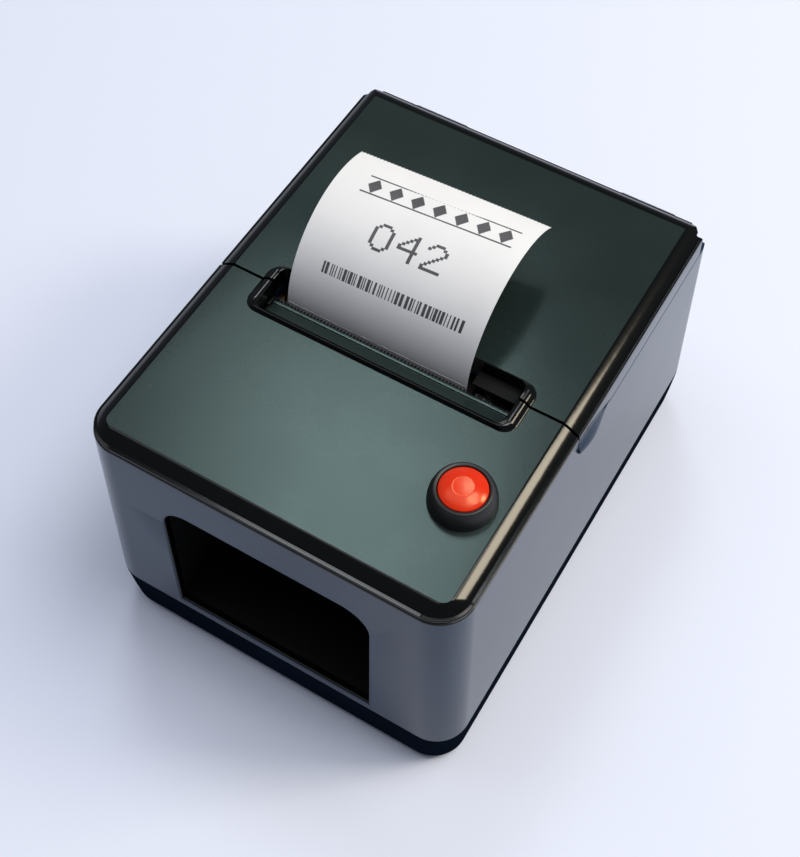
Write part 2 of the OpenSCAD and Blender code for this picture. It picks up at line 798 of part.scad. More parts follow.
// Chips: middle from the board's middle and front edge, then width, depth and height
chip_in = board_x - 14;
chips = [[-8, 18, 10, 8, 1.4], [12, 20, 7, 5, 1.2], [chip_in, 28, 6, 6, 1.2], [-chip_in, 44, 8, 6, 1.2]];
can = [3.5, 10];          // radius and height of the capacitors
can_x = web_slot[0] - 2 - can[0];      // beside the ribbon's connector
can_at = [[can_x, 18], [can_x, 28], [board_x - 12, 34]];
module board_chips() color("dimgray") {
    for (c = chips) translate([c[0] - c[2] / 2, board_y0 + c[1] - c[3] / 2, board_top])
        cube([c[2], c[3], c[4]]);
    for (c = can_at) post(c[0], board_y0 + c[1], board_top, board_top + can[1], can[0]);
}

board_screw_l = 8;
module board_screws() color("silver") {
    board_posts() screw_down(board_top, board_screw_l - 1, m25);
}

// ---- Roll bucket ----

platform_t = 2;
platform_y = platen_y + 7;          // rear edge of the platform between the well's sides
well_y = platform_y + tub_t;        // front edges of the well's sides
wing_y = platen_y + 17;             // rear edge of the platform beside the well
rear_gap = 1;                       // the well stays this far from the body's rear shoulder
module roll_bucket() color("black") {
    in_x = case_w / 2 - wall - drawn_in(bucket_top) - part_gap;
    tub_out = tub_r + tub_t;
    screw_end = head_z + chassis_screw_l;
    difference() {
        union() {
            // platform for the print mechanism
            block([-leg_x - leg_r, leg_y[0] - leg_r, deck_z - platform_t],
                  [leg_x + leg_r, platform_y, deck_z]);
            for (s = sides) {
                x = s > 0 ? tub_x1 : -leg_x - leg_r;
                w = s > 0 ? leg_x + leg_r - tub_x1 : leg_x + leg_r + tub_x0;
                block([x, platen_y, deck_z - platform_t], [x + w, wing_y, deck_z]);
            }
            // trough under the roll, and the well's rear wall
            along_x(tub_x0 - tub_t, tub_x1 - tub_x0 + 2 * tub_t) trough_side(tub_out);
            // rim round the top of the well
            block([-in_x, well_y, bucket_top - tub_t],
                  [in_x, rear_cut_y - rear_gap, bucket_top]);
            for (s = sides) {
                post(s * leg_x, leg_y[0], leg_foot, deck_z - platform_t + sliver, leg_r);
                post(s * leg_x, leg_y[1], leg_foot, bucket_top - tub_t / 2, leg_r);
            }
        }
        along_x(tub_x0, tub_x1 - tub_x0) well_side();
        for (x = sides, y = leg_y)
            post(x * leg_x, y, leg_foot - past, screw_end + past, m3[0] + seat_fit);
        for (p = mech_screw)
            post(p[0], p[1], deck_z - platform_t - past, deck_z + past, m25[0] + seat_fit);
        ribbon_slot(deck_z - platform_t - past, deck_z + past);
    }
}

// Slot that the head's ribbon passes through, between two heights
module ribbon_slot(z0, z1) {
    block([web_slot[0], ribbon_y - web_slot_w / 2, z0],
          [web_slot[0] + web_slot[1], ribbon_y + web_slot_w / 2, z1]);
}

// Outer side view of the well: trough, cheeks and rear wall
module trough_side(r) {
    difference() {
        union() {
            translate([roll_y, roll_z]) circle(r);
            translate([well_y, roll_z]) square([roll_y + r - well_y, bucket_top - roll_z]);
        }
        translate([roll_y - 2 * r, roll_z - 2 * r]) square([2 * r - tub_r * cos(lip_angle), 4 * r]);
    }
    translate([well_y, roll_z - cheek_drop]) square([roll_y - well_y, bucket_top - roll_z + cheek_drop]);
}
lip_angle = 34;           // the trough's front edge stands this far below the roll's axis
cheek_drop = 6;           // the well's sides reach this far below the roll's axis

// Inner side view of the well, open at the front for the paper and at the top
module well_side() {
    translate([roll_y, roll_z]) circle(tub_r);
    translate([roll_y - tub_r, roll_z]) square([2 * tub_r, case_h]);
    translate([platform_y, roll_z - tub_r * sin(lip_angle)]) square([roll_y - platform_y, case_h]);
}

// ---- Print mechanism ----

module mechanism_frame() color("gray") {
    difference() {
        union() {
            for (x = [plate_x0, plate_x1]) along_x(x, plate_t) plate_side();
            block([plate_x0, mech_y0, deck_z],
                  [plate_x1 + plate_t, mech_y1 - foot_in, deck_z + plate_t]);
            block([plate_x0, bar_y - plate_t, plate_top - bar_w - 1],
                  [plate_x1 + plate_t, bar_y, plate_top - 1]);
        }
        for (p = mech_screw)
            post(p[0], p[1], deck_z - past, deck_z + plate_t + past, m25[0] + part_gap / 2);
        ribbon_slot(deck_z - past, deck_z + plate_t + past);
    }
}
bar_w = 8.5;              // height of the bar that the head springs push on
foot_in = 2;              // the plates' feet stand in at the rear

// Side plate with an open notch for the platen's shaft
module plate_side() {
    difference() {
        polygon([[mech_y0, deck_z], [mech_y1 - foot_in, deck_z], [mech_y1, deck_z + 10],
                 [mech_y1, plate_top - 3], [mech_y1 - 3, plate_top],
                 [bar_y - plate_t - 2, plate_top], [mech_y0, deck_z + 14]]);
        translate([platen_y, platen_z]) circle(notch_r);
        translate([platen_y - notch_r, platen_z]) square([2 * notch_r, 10]);
        translate([pivot_y, pivot_z]) circle(pivot_r + seat_fit);
        translate(motor_c) circle(motor_nose_r + run_fit);
        translate(idler_c) circle(axle_r + seat_fit);
    }
}

mech_screw_l = 4.5;
module mechanism_screws() color("silver") {
    for (p = mech_screw) translate([p[0], p[1], 0]) screw_down(deck_z + plate_t, mech_screw_l, m25);
}

// Point beside the straight run of paper: s along it from the platen, off in front of it
function by_web(s, off) = [platen_y, platen_z] + (path_r + off) * [cos(path_n), sin(path_n)]
    + s * [-sin(path_n), cos(path_n)];

guide_off = 1.2;
guide_t = 1.2;
guide_end = (mech_h - plate_t + (path_r + guide_off + guide_t) * sin(path_n)) / -cos(path_n);
guide_run = [10, guide_end - part_gap];     // start and end of the guide along the paper
guide_foot = 3;
module paper_guide() color("black") {
    front = guide_off + guide_t;
    low = by_web(guide_run[1], guide_off);
    x0 = plate_x0 + plate_t + 0.1;
    length = plate_x1 - x0 - 0.1;
    along_x(x0, length) polygon([by_web(guide_run[0], guide_off), low,
                                 by_web(guide_run[1], front), by_web(guide_run[0], front)]);
    for (x = [x0, x0 + length - guide_foot])
        along_x(x, guide_foot) polygon([low, [low[0] - guide_t - guide_foot, deck_z + plate_t],
                                        [low[0] + guide_t, deck_z + plate_t]]);
}

sensor = [6, 4.5, 3];
module paper_sensor() color("dimgray") {
    near = guide_off + guide_t + 0.05;
    far = near + sensor[2];
    s = (guide_run[0] + guide_run[1] - sensor[1]) / 2;
    along_x(paper_mid - sensor[0] / 2, sensor[0])
        polygon([by_web(s, near), by_web(s + sensor[1], near),
                 by_web(s + sensor[1], far), by_web(s, far)]);
}

module stepper_motor() color("silver") {
    x0 = plate_x1 - 1 - motor_l;
    difference() {
        union() {
            along_x(x0, motor_l + 1) translate(motor_c) circle(motor_r);
            along_x(plate_x1 - 1, 1) translate(motor_c) {
                square([6, 2 * motor_r + 3], center = true);
                circle(motor_r);
            }
            along_x(plate_x1 - sliver, plate_t) translate(motor_c) circle(motor_nose_r);
        }
        along_x(x0 + 2, motor_l + 4) translate(motor_c) circle(motor_shaft_r + run_fit);
    }
}

// Gear drawn from its tooth count; teeth are involute with a little play
gear_angle = 25;
gear_play = 0.16;
function involute(base, t) = let (arc = t * PI / 180)
    [base * (cos(t) + arc * sin(t)), base * (sin(t) - arc * cos(t))];
function turned(p, a) = [p[0] * cos(a) - p[1] * sin(a), p[0] * sin(a) + p[1] * cos(a)];
function mirrored(p) = [p[0], -p[1]];
function flank(teeth) = let (
    pitch = gear_m * teeth / 2,
    base = pitch * cos(gear_angle),
    root = pitch - 1.2 * gear_m,
    tip = pitch + 0.85 * gear_m,
    t_pitch = tan(gear_angle) * 180 / PI,
    t_tip = sqrt(pow(tip / base, 2) - 1) * 180 / PI,
    turn = 90 / teeth - gear_play / pitch * 90 / PI + t_pitch - gear_angle,
    steps = 4)
    concat([turned([root, 0], -turn - 1)],
           [for (i = [0:steps]) turned(involute(base, t_tip * i / steps), -turn)]);
function tooth_points(teeth) = let (f = flank(teeth), n = len(f))
    concat(f, [for (i = [n - 1:-1:0]) mirrored(f[i])]);
module gear_side(teeth) {
    polygon([for (k = [0:teeth - 1]) for (p = tooth_points(teeth)) turned(p, k * 360 / teeth)]);
}

idler_turn = idler_dir + 180;
platen_turn = idler_dir + 180 / platen_teeth;
pinion_phase = 0.5 - (pinion_dir - idler_turn) * idler_teeth / 360;
pinion_turn = pinion_dir + 180 - pinion_phase * 360 / pinion_teeth;

module motor_pinion() color("silver") {
    along_x(gear_x, gear_t + 0.5) translate(motor_c) rotate(pinion_turn) gear_side(pinion_teeth);
    along_x(plate_x1 - motor_l + 4, gear_x - plate_x1 + motor_l - 4 + sliver)
        translate(motor_c) circle(motor_shaft_r);
}

module idler_gear() color("dimgray") {
    along_x(gear_x, gear_t) difference() {
        translate(idler_c) rotate(idler_turn) gear_side(idler_teeth);
        translate(idler_c) circle(axle_r + run_fit);
    }
}

module idler_axle() color("silver") {
    along_x(plate_x1, gear_x + gear_t + 1 - plate_x1) translate(idler_c) circle(axle_r);
    along_x(plate_x1 + plate_t, gear_x - 0.2 - plate_x1 - plate_t) translate(idler_c) circle(axle_r + 1);
}

module platen_gear() color("dimgray") {
    along_x(gear_x, gear_t) difference() {
        translate([platen_y, platen_z]) rotate(platen_turn) gear_side(platen_teeth);
        translate([platen_y, platen_z]) circle(shaft_r + seat_fit);
    }
}

module platen_shaft() color("silver") {
    along_x(-arm_x - arm_t, 2 * (arm_x + arm_t)) translate([platen_y, platen_z]) circle(shaft_r);
}

module platen_roller() color("dimgray") {
    along_x(paper_x0 - 0.5, paper_w + 1) translate([platen_y, platen_z]) difference() {
        circle(platen_r);
        circle(shaft_r);
    }
}

module platen_bushes() color("tan") {
    for (s = sides) {
        along_x(s > 0 ? arm_x : -arm_x - arm_t, arm_t) translate([platen_y, platen_z]) difference() {
            circle(bush_r);
            circle(shaft_r + run_fit);
        }
        along_x(s > 0 ? arm_x - bush_flange_t : -arm_x, bush_flange_t)
            translate([platen_y, platen_z]) difference() {
                circle(bush_flange_r);
                circle(shaft_r + run_fit);
            }
    }
}

// Print head: an aluminium plate with the printing strip on its face
head_x0 = plate_x0 + plate_t + 0.8;
head_l = plate_x1 - head_x0 - 0.8;
module head_heatsink() color("silver") {
    along_x(head_x0, head_l) difference() {
        union() {
            translate([sink_y, pivot_z]) square([sink_t, plate_top - pivot_z]);
            translate([pivot_y, pivot_z]) circle(pivot_boss);
        }
        translate([pivot_y, pivot_z]) circle(pivot_r + run_fit);
    }
}

module thermal_head() color("tan") {
    along_x(head_x0 + 1, head_l - 2)
        translate([head_y - ceramic_t, pivot_z + 5]) square([ceramic_t, plate_top - pivot_z - 5.5]);
}

module head_pivot_pin() color("silver") {
    along_x(plate_x0 - 0.5, plate_x1 - plate_x0 + plate_t + 1)
        translate([pivot_y, pivot_z]) circle(pivot_r);
}

// Helical spring along +Z from the origin
module coil(r, wire, height, turns) {
    steps = 14;
    ring = 6;
    n = turns * steps;
    function at(i, k) = let (a = 360 * i / steps, b = 360 * k / ring)
        [(r + wire * cos(b)) * cos(a), (r + wire * cos(b)) * sin(a),
         wire + (height - 2 * wire) * i / n + wire * sin(b)];
    polyhedron(
        points = [for (i = [0:n]) for (k = [0:ring - 1]) at(i, k)],
        faces = concat(
            [[for (k = [0:ring - 1]) k]],
            [for (i = [0:n - 1]) for (k = [0:ring - 1])
                [i * ring + k, (i + 1) * ring + k,
                 (i + 1) * ring + (k + 1) % ring, i * ring + (k + 1) % ring]],
            [[for (k = [ring - 1:-1:0]) n * ring + k]]));
}

module head_springs() color("silver") {
    for (x = spring_x) translate([x, sink_y, spring_z]) rotate([90, 0, 0])
        coil(1.8, 0.3, sink_y - bar_y, 4);
}

ribbon_y = sink_y - 2;
ribbon_t = 0.3;
module head_ribbon() color("black") {
    x = web_slot[0] + 2;
    along_x(x, web_slot[1] - 4) {
        translate([ribbon_y, board_top + 1.6]) square([ribbon_t, pivot_z + 1 - board_top - 1.6]);
        translate([ribbon_y, pivot_z + 1]) square([1.6, ribbon_t]);
    }
}

module ribbon_connector() color("dimgray") {
    x = web_slot[0];
    side = 1.6;
    height = 2.6;
    end = 1.8;
    slot_low = board_top + 1.5;
    difference() {
        block([x, ribbon_y - side, board_top],
              [x + web_slot[1], ribbon_y + side + ribbon_t, board_top + height]);
        block([x + end, ribbon_y - 0.1, slot_low],
              [x + web_slot[1] - end, ribbon_y + ribbon_t + 0.1, board_top + height + past]);
    }
}

// ---- Paper ----

module paper_roll() color("white") {
    along_x(paper_x0, paper_w) translate([roll_y, roll_z]) difference() {
        circle(roll_r, $fn = 96);
        circle(core_r + seat_fit);
    }
}

module roll_core() color("tan") {
    along_x(paper_x0, paper_w) translate([roll_y, roll_z]) difference() {
        circle(core_r);
        circle(core_r - 0.8);
    }
}

// Paper from the roll up to the tear bar, as one side-view outline
function on_platen(a, r) = [platen_y + r * cos(a), platen_z + r * sin(a)];
function on_roll(a, r) = [roll_y + r * cos(a), roll_z + r * sin(a)];
module paper_web() color("white") {
    h = paper_t / 2;
    bend = [for (i = [0:4]) path_n + (180 - path_n) * i / 4];
    along_x(paper_x0, paper_w) polygon(concat(
        [on_roll(path_n, path_roll_r - h)],
        [for (a = bend) on_platen(a, path_r - h)],
        [[paper_y + h, web_top], [paper_y - h, web_top]],
        [for (i = [4:-1:0]) on_platen(bend[i], path_r + h)],
        [on_roll(path_n, path_roll_r + h)]));
}

// Printed ticket: a strip that curls back over the lid
curl_z = tear_z - 3.6;
curl_y = paper_y + sqrt(pow(curl_r, 2) - pow(tear_z - curl_z, 2));
curl_start = 180 - asin((tear_z - curl_z) / curl_r);
curl_steps = 32;
function curl(r) = [for (i = [0:curl_steps]) let (a = curl_start - curl_angle * i / curl_steps)
    [curl_y + r * cos(a), curl_z + r * sin(a)]];
module ticket() color("white") {
    inner = curl(curl_r - paper_t / 2);
    outer = curl(curl_r + paper_t / 2);
    along_x(paper_x0, paper_w)
        polygon(concat(inner, [for (i = [curl_steps:-1:0]) outer[i]]));
}

// ---- Push button ----

module button_bezel() color("black") {
    translate([button_x, button_y, 0]) difference() {
        union() {
            translate([0, 0, case_h]) cylinder(h = bezel_h, r1 = bezel_r, r2 = bezel_r - 1.45);
            post(0, 0, barrel_z, case_h, barrel_r);
        }
        post(0, 0, cup_z, case_h + bezel_h + past, cap_r + run_fit);
        post(0, 0, spring_seat, cup_z + past, spring_r + spring_wire + 0.6);
        post(0, 0, barrel_z + 2, spring_seat + past, plunger_r + run_fit);
    }
}

module button_cap() color("orangered") {
    translate([button_x, button_y, 0]) {
        post(0, 0, cap_z, case_h + bezel_h - 1.2, cap_r);
        translate([0, 0, case_h + bezel_h - 1.2]) cylinder(h = 1.8, r1 = cap_r, r2 = 2.6);
        post(0, 0, barrel_z + 2 + cap_travel + 0.4, cap_z + sliver, plunger_r);
    }
}

module button_spring() color("silver") {
    translate([button_x, button_y, spring_seat])
        coil(spring_r, spring_wire, cap_z - spring_seat - 0.05, 6);
}

module button_nut() color("silver") {
    translate([button_x, button_y, under_skin - 3]) difference() {
        cylinder(h = 3, r = 8.2, $fn = 6);
        translate([0, 0, -past]) cylinder(h = 3 + 2 * past, r = barrel_r + seat_fit);
    }
}

module button_terminals() color("goldenrod") {
    for (s = sides) translate([button_x + s * 3 - 0.4, button_y - 1.2, barrel_z - 6]) cube([0.8, 2.4, 6]);
}

case_body();
base_tray();
rubber_feet();
front_top_cover();
tear_bar();
bay_liner();
roll_bucket();
mechanism_frame();
paper_guide();
paper_sensor();
stepper_motor();
motor_pinion();
idler_gear();
idler_axle();
head_heatsink();
thermal_head();
head_pivot_pin();
head_springs();
platen_roller();
platen_shaft();
platen_gear();
platen_bushes();
lid_frame();
lid_top_panel();
hinge_pins();
paper_roll();
roll_core();
paper_web();
ticket();
button_bezel();
button_cap();
button_spring();
button_nut();
button_terminals();
main_board();
board_chips();
power_jack();
usb_port();
head_ribbon();
ribbon_connector();
case_screws();
chassis_screws();
cover_screws();
lid_screws();
board_screws();
mechanism_screws();
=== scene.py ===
import math
import random

import bmesh
import bpy
from mathutils import Matrix, Vector

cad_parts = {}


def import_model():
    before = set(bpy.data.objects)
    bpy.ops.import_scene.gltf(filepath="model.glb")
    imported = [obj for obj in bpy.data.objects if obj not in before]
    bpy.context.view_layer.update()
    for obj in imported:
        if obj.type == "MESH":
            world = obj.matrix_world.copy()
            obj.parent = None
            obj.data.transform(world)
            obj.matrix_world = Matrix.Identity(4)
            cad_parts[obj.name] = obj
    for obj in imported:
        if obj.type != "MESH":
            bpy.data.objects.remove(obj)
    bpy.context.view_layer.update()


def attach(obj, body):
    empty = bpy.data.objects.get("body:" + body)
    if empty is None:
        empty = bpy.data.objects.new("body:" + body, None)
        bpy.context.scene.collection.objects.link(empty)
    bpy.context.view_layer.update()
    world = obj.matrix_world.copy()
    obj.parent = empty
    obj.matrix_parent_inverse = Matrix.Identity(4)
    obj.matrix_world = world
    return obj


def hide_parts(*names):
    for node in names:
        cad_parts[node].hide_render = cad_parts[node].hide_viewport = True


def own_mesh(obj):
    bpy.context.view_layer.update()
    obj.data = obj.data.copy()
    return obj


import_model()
MM = 0.001

# ---- Sizes that the pieces share, in millimetres ----

CASE_W, CASE_D, CORNER = 110.0, 150.0, 9.6      # widest outline, at the open seam
SEAM_Z, RIM_Z, TOP_Z = 17.8, 84.6, 88.0         # body's lower and upper edge, flat of the top
LEAN = 2.35                                     # how far each wall leans in up to its rim
WALL = 2.2
SPLIT_Y, GAP = -11.5, 0.4                       # joint of front cover and lid; each stands back by GAP
SLOT_L, SLOT_Y0, SLOT_Y1, SLOT_R = 71.0, -20.3, -6.5, 2.0       # ticket slot and its corners
BAY_HALF, BAY_LOW, BAY_HIGH, BAY_R = 30.0, 21.5, 70.0, 8.0      # cable bay and its upper corners
BAY_SOFT = 0.7                                  # radius of the edge round the bay
REAR_Y, RAIL_END_Y, LID_CORNER = 64.4, 61.6, 3.0                # lid's back, its side ledges' ends
HINGE_X, HINGE_Y, HINGE_Z, KNUCKLE_R = 33.0, 69.7, 75.0, 3.2
SKIRT_Z = 77.8                                  # lower edge of the lid's skirt
BAR_SEAT_Z = 82.2                               # shelf that the tear bar lies on
ROLL_Y, ROLL_Z = 30.0, 45.0                     # axis of the paper roll
PLATEN_Y, PLATEN_Z = -7.0, 74.0                 # axis of the platen roller
BUTTON = (37.4, -42.4)
FAR = 120.0                                     # well outside the case, for cutters

CASE_SCREWS = [(sx * 47.5, sy * 67.5) for sx in (-1, 1) for sy in (-1, 1)]
CHASSIS_SCREWS = [(sx * 45.0, y) for sx in (-1, 1) for y in (-38.0, 52.0)]
COVER_SCREWS = [(sx * x, y) for sx in (-1, 1) for x, y in ((44, -62), (45.5, -19))]
LID_SCREWS = [(sx * 40.0, y) for sx in (-1, 1) for y in (5.0, 56.0)]
BOARD_SCREWS = [(sx * 36.0, y) for sx in (-1, 1) for y in (-40.6, 4.0)]
MECHANISM_SCREWS = [(x, y) for x in (-28, 0) for y in (-33, -6)]
FEET = [(sx * 38.0, sy * 60.0) for sx in (-1, 1) for sy in (-1, 1)]
M3, M25 = (1.48, 2.9, 2.4), (1.25, 2.3, 1.5)    # screw's radius, head's radius and height
CORE_M3, CLEAR_M3 = 1.5, 1.78                   # radius of the hole that a screw bites or clears
CORE_M25, CLEAR_M25 = 1.27, 1.55


# ---- Camera: fitted to the case's outlines ----

PICTURE_W, PICTURE_H = 800, 857                 # of the photograph, in pixels
MIDDLE_X, MIDDLE_Y = 402.420, 438.544           # where the camera's axis meets it
FOCAL = 1396.712                                # focal length in its pixels
STANDS = (106.063, -187.749, 371.645)

camera = bpy.data.objects.new("camera", bpy.data.cameras.new("camera"))
bpy.context.scene.collection.objects.link(camera)
bpy.context.scene.camera = camera
camera.data.sensor_fit = "VERTICAL"
camera.data.sensor_height = 36.0
camera.data.lens = FOCAL / PICTURE_H * camera.data.sensor_height
camera.data.shift_x = -(MIDDLE_X - PICTURE_W / 2) / PICTURE_H
camera.data.shift_y = (MIDDLE_Y - PICTURE_H / 2) / PICTURE_H
camera.data.clip_start = 0.01
# the camera's own axes: to its right, up and into the picture
across = Vector((0.86078, 0.50896, 0.00309))
upward = Vector((-0.43325, 0.72953, 0.52922))
ahead = Vector((-0.26710, 0.45688, -0.84848))
turn = Matrix((across, upward, -ahead)).transposed().to_4x4()
camera.matrix_world = Matrix.Translation(Vector(STANDS) * MM) @ turn


# ---- Materials ----

def linear(hex_colour):
    """sRGB hex to the linear colour that a shader takes."""
    parts = [int(hex_colour[i:i + 2], 16) / 255 for i in (1, 3, 5)]
    return [c / 12.92 if c <= 0.04045 else ((c + 0.055) / 1.055) ** 2.4 for c in parts] + [1.0]


CLOUDS, WAVES, LINES, TRACKS, TURNS = 22.2, 3.85, 40, 3.125, 0.748      # spacing of each pattern, mm


def every(spacing_mm):
    """Scale of a pattern that repeats at this spacing."""
    return 1 / (spacing_mm * MM)


def add(tree, kind, settings=None, links=None):
    """Adds a node. links maps an input to the socket that feeds it."""
    node = tree.nodes.new(kind)
    for name, value in (settings or {}).items():
        if isinstance(name, int) or name in node.inputs:
            node.inputs[name].default_value = value
        else:
            setattr(node, name, value)
    for name, source in (links or {}).items():
        tree.links.new(source, node.inputs[name])
    return node


def finish_of(name, hex_colour, roughness, metallic=0.0, ior=1.5, level=0.5, tint="#ffffff"):
    """A new material with its shader, Object coordinates and output."""
    material = bpy.data.materials.new(name)
    material.use_nodes = True
    tree = material.node_tree
    tree.nodes.clear()
    shader = add(tree, "ShaderNodeBsdfPrincipled", {
        "Base Color": linear(hex_colour), "Roughness": roughness, "Metallic": metallic, "IOR": ior,
        "Specular IOR Level": level, "Specular Tint": linear(tint)})
    add(tree, "ShaderNodeOutputMaterial", links={"Surface": shader.outputs["BSDF"]})
    where = add(tree, "ShaderNodeTexCoord").outputs["Object"]
    return material, tree, shader, where


def surface_from(tree, shader, pattern, shades=None, reach=(0.0, 1.0), rough=None, depth_mm=None,
                 strength=0.5):
    """Lets a pattern run the colour between two shades, the roughness between two limits, and a bump."""
    height = pattern.outputs["Fac"]
    if shades:
        ramp = add(tree, "ShaderNodeValToRGB", links={"Fac": height})
        for stop, place, shade in zip(ramp.color_ramp.elements, reach, shades):
            stop.position = place
            stop.color = linear(shade)
        tree.links.new(ramp.outputs["Color"], shader.inputs["Base Color"])
    if rough:
        spread = add(tree, "ShaderNodeMapRange", {"To Min": rough[0], "To Max": rough[1]}, {"Value": height})
        tree.links.new(spread.outputs["Result"], shader.inputs["Roughness"])
    if depth_mm:
        bump = add(tree, "ShaderNodeBump", {"Strength": strength, "Distance": depth_mm * MM},
                   {"Height": height})
        tree.links.new(bump.outputs["Normal"], shader.inputs["Normal"])


def speckle(tree, shader, where, grain_mm, depth_mm, shades, rough):
    """Fine grain as a bump, with broad soft clouds in the colour and the roughness."""
    grain = add(tree, "ShaderNodeTexNoise", {"Scale": every(grain_mm), "Detail": 1.0}, {"Vector": where})
    surface_from(tree, shader, grain, depth_mm=depth_mm)
    clouds = add(tree, "ShaderNodeTexNoise", {"Scale": every(CLOUDS), "Detail": 4.0}, {"Vector": where})
    surface_from(tree, shader, clouds, shades, (0.2, 0.8), rough)


def satin_moulded(name, dark, light, roughness, grain_mm=0.35, depth_mm=0.02, tint="#ffffff", level=0.5):
    """Moulded plastic or rubber: satin, from the eroded grain of its mould, drawn coarser to show."""
    material, tree, shader, where = finish_of(name, light, roughness, level=level, tint=tint)
    speckle(tree, shader, where, grain_mm, depth_mm, (dark, light), (roughness - 0.03, roughness + 0.04))
    return material


def smooth_gloss(name, dark, light, roughness=0.12, level=0.5):
    """Moulded in a polished cavity, or glazed: gloss that is slightly wavy, with faint haze."""
    material, tree, shader, where = finish_of(name, light, roughness, level=level)
    waves = add(tree, "ShaderNodeTexNoise", {"Scale": every(WAVES), "Detail": 2.0}, {"Vector": where})
    surface_from(tree, shader, waves, (dark, light), depth_mm=0.04, strength=0.35)
    return material


def drawn_metal(name, dark, light, roughness, axis, spacing_mm=0.25):
    """Metal with fine lines left by rolling, turning or drawing along one axis."""
    material, tree, shader, where = finish_of(name, light, roughness, metallic=1.0)
    fine = [every(spacing_mm)] * 3
    fine[axis] = every(LINES)
    stretch = add(tree, "ShaderNodeMapping", {"Scale": fine}, {"Vector": where})
    lines = add(tree, "ShaderNodeTexNoise", {"Scale": 1.0, "Detail": 2.0}, {"Vector": stretch.outputs[0]})
    surface_from(tree, shader, lines, (dark, light), rough=(roughness - 0.06, roughness + 0.1),
                 depth_mm=0.02, strength=0.3)
    return material


def coated_paper(name, dark, light):
    """Thermal paper: a smooth bright coat over faint fibres."""
    material, tree, shader, where = finish_of(name, light, 0.55, ior=1.45)
    speckle(tree, shader, where, 0.25, 0.006, (dark, light), (0.5, 0.62))
    return material


# body: deep slate whose smooth satin walls mirror the pale room, bluish at a slant
slate_abs = satin_moulded("slate_moulded_abs", "#142334", "#192b40", 0.18, 0.6, 0.004, "#a4c4e6", 0.4)
# tray: the same slate, a little rougher; painted shade: darker than the walls and without a specular
# reflection, in place of the floor's contact shadow that it would mirror
tray_painted_shade_abs = satin_moulded("slate_moulded_abs_tray_painted_shade", "#0e141d", "#121a26", 0.5, 0.6, 0.006, "#8faccc", 0.0)
# front plate: green-black satin that spreads a high light into a broad grey-green sheen
top_abs = satin_moulded("green_black_moulded_abs", "#141a19", "#1a2120", 0.27, 1.0, 0.020, "#dcfff9")
# lid and tear bar: the same plastic, smoother, so it mirrors the darker side of the room; painted light: its
# colour is a little lighter and greener than the front plate's, to make up the lid's brightness
lid_abs_painted_light = satin_moulded("green_black_moulded_abs_lid_painted_light", "#151e1c", "#1c2624", 0.2, 1.0, 0.010, "#dcfff9")
# polished edges of these mouldings: gloss in a near-black far darker than the plastic, painted shade that
# draws thin dark outlines; on the body it paints the shade of its rim and the bay's sides
near_black_gloss_painted_shade = smooth_gloss("green_black_polished_abs_painted_shade", "#030404", "#060807", 0.13, 0.3)
# tear bar's teeth: black gloss that glints at each point
gloss_abs = smooth_gloss("black_polished_abs", "#0b0d0c", "#101312")
# liners and inner chassis: black plastic, made darker and duller than it is as painted shade, so that the
# bay, the slot's end and the inside read as black shadow
black_abs_painted_shade = satin_moulded("black_moulded_abs", "#040505", "#080909", 0.6, level=0.15)
# button's ring: glass-filled nylon, a dull black with fine sparkle
black_nylon = satin_moulded("black_moulded_nylon", "#101112", "#191a1b", 0.45, 0.25, 0.02)
# platen roller: ground rubber, flat black with hardly a highlight
ground_rubber = satin_moulded("ground_black_rubber", "#141415", "#1d1d1e", 0.75, 0.2, 0.03)
# feet: moulded rubber, dull charcoal with a coarser grain
foot_rubber = satin_moulded("moulded_black_rubber", "#19191a", "#232324", 0.8, 0.5, 0.03)
# gears: acetal, black with a waxy sheen
black_acetal = satin_moulded("black_acetal", "#0d0d0e", "#151516", 0.32, 0.6, 0.008)
# chips: epoxy, dark grey and matt
chip_epoxy = satin_moulded("moulded_chip_epoxy", "#17181a", "#212224", 0.55, 0.15, 0.01)
# paper sensor: polycarbonate, a dark smoky gloss
smoked_polycarbonate = smooth_gloss("smoked_polycarbonate", "#0c0c10", "#15151b", 0.18)
# print line: glazed ceramic, grey-brown and glassy
glazed_ceramic = smooth_gloss("glazed_ceramic_strip", "#5d5750", "#6d675e", 0.2)
# mechanism frame and motor: rolled steel under zinc, light grey with soft lines
zinc_plate = drawn_metal("zinc_plated_sheet_steel", "#8f9296", "#b9bcc0", 0.38, 0, 0.5)
# pins and shafts: turned steel, bright with fine lines
turned_steel = drawn_metal("turned_steel", "#9c9ea1", "#c4c6c9", 0.25, 0, 0.2)
# springs: drawn wire, grey and smooth
spring_wire = drawn_metal("drawn_spring_wire", "#85878b", "#a7a9ad", 0.3, 2, 0.3)
# screws: zinc over steel, a soft bright grey
screw_steel = drawn_metal("zinc_plated_screws", "#8b8e92", "#b4b7bb", 0.32, 2, 0.3)
# port's shell: tinned steel, the brightest of the metals
port_steel = drawn_metal("tinned_port_shell", "#a9acb0", "#cdd0d4", 0.2, 1, 0.5)
# head's heatsink: cast aluminium, pale and hazy
cast_aluminium = drawn_metal("die_cast_aluminium", "#a4a6a8", "#c2c4c6", 0.42, 0, 0.4)
# platen's bushes: sintered bronze, warm brown and dull
sintered_bronze = drawn_metal("sintered_bronze", "#8a6a3c", "#b08b55", 0.4, 0, 0.2)
# button's tags: tinned brass, pale yellow
tinned_brass = drawn_metal("tinned_brass_tags", "#a8935a", "#cdb87c", 0.3, 2, 0.4)
# ticket and web: thermal paper, white with the faint haze of its coat
thermal_paper = coated_paper("coated_thermal_paper", "#d8d9da", "#e2e3e4")
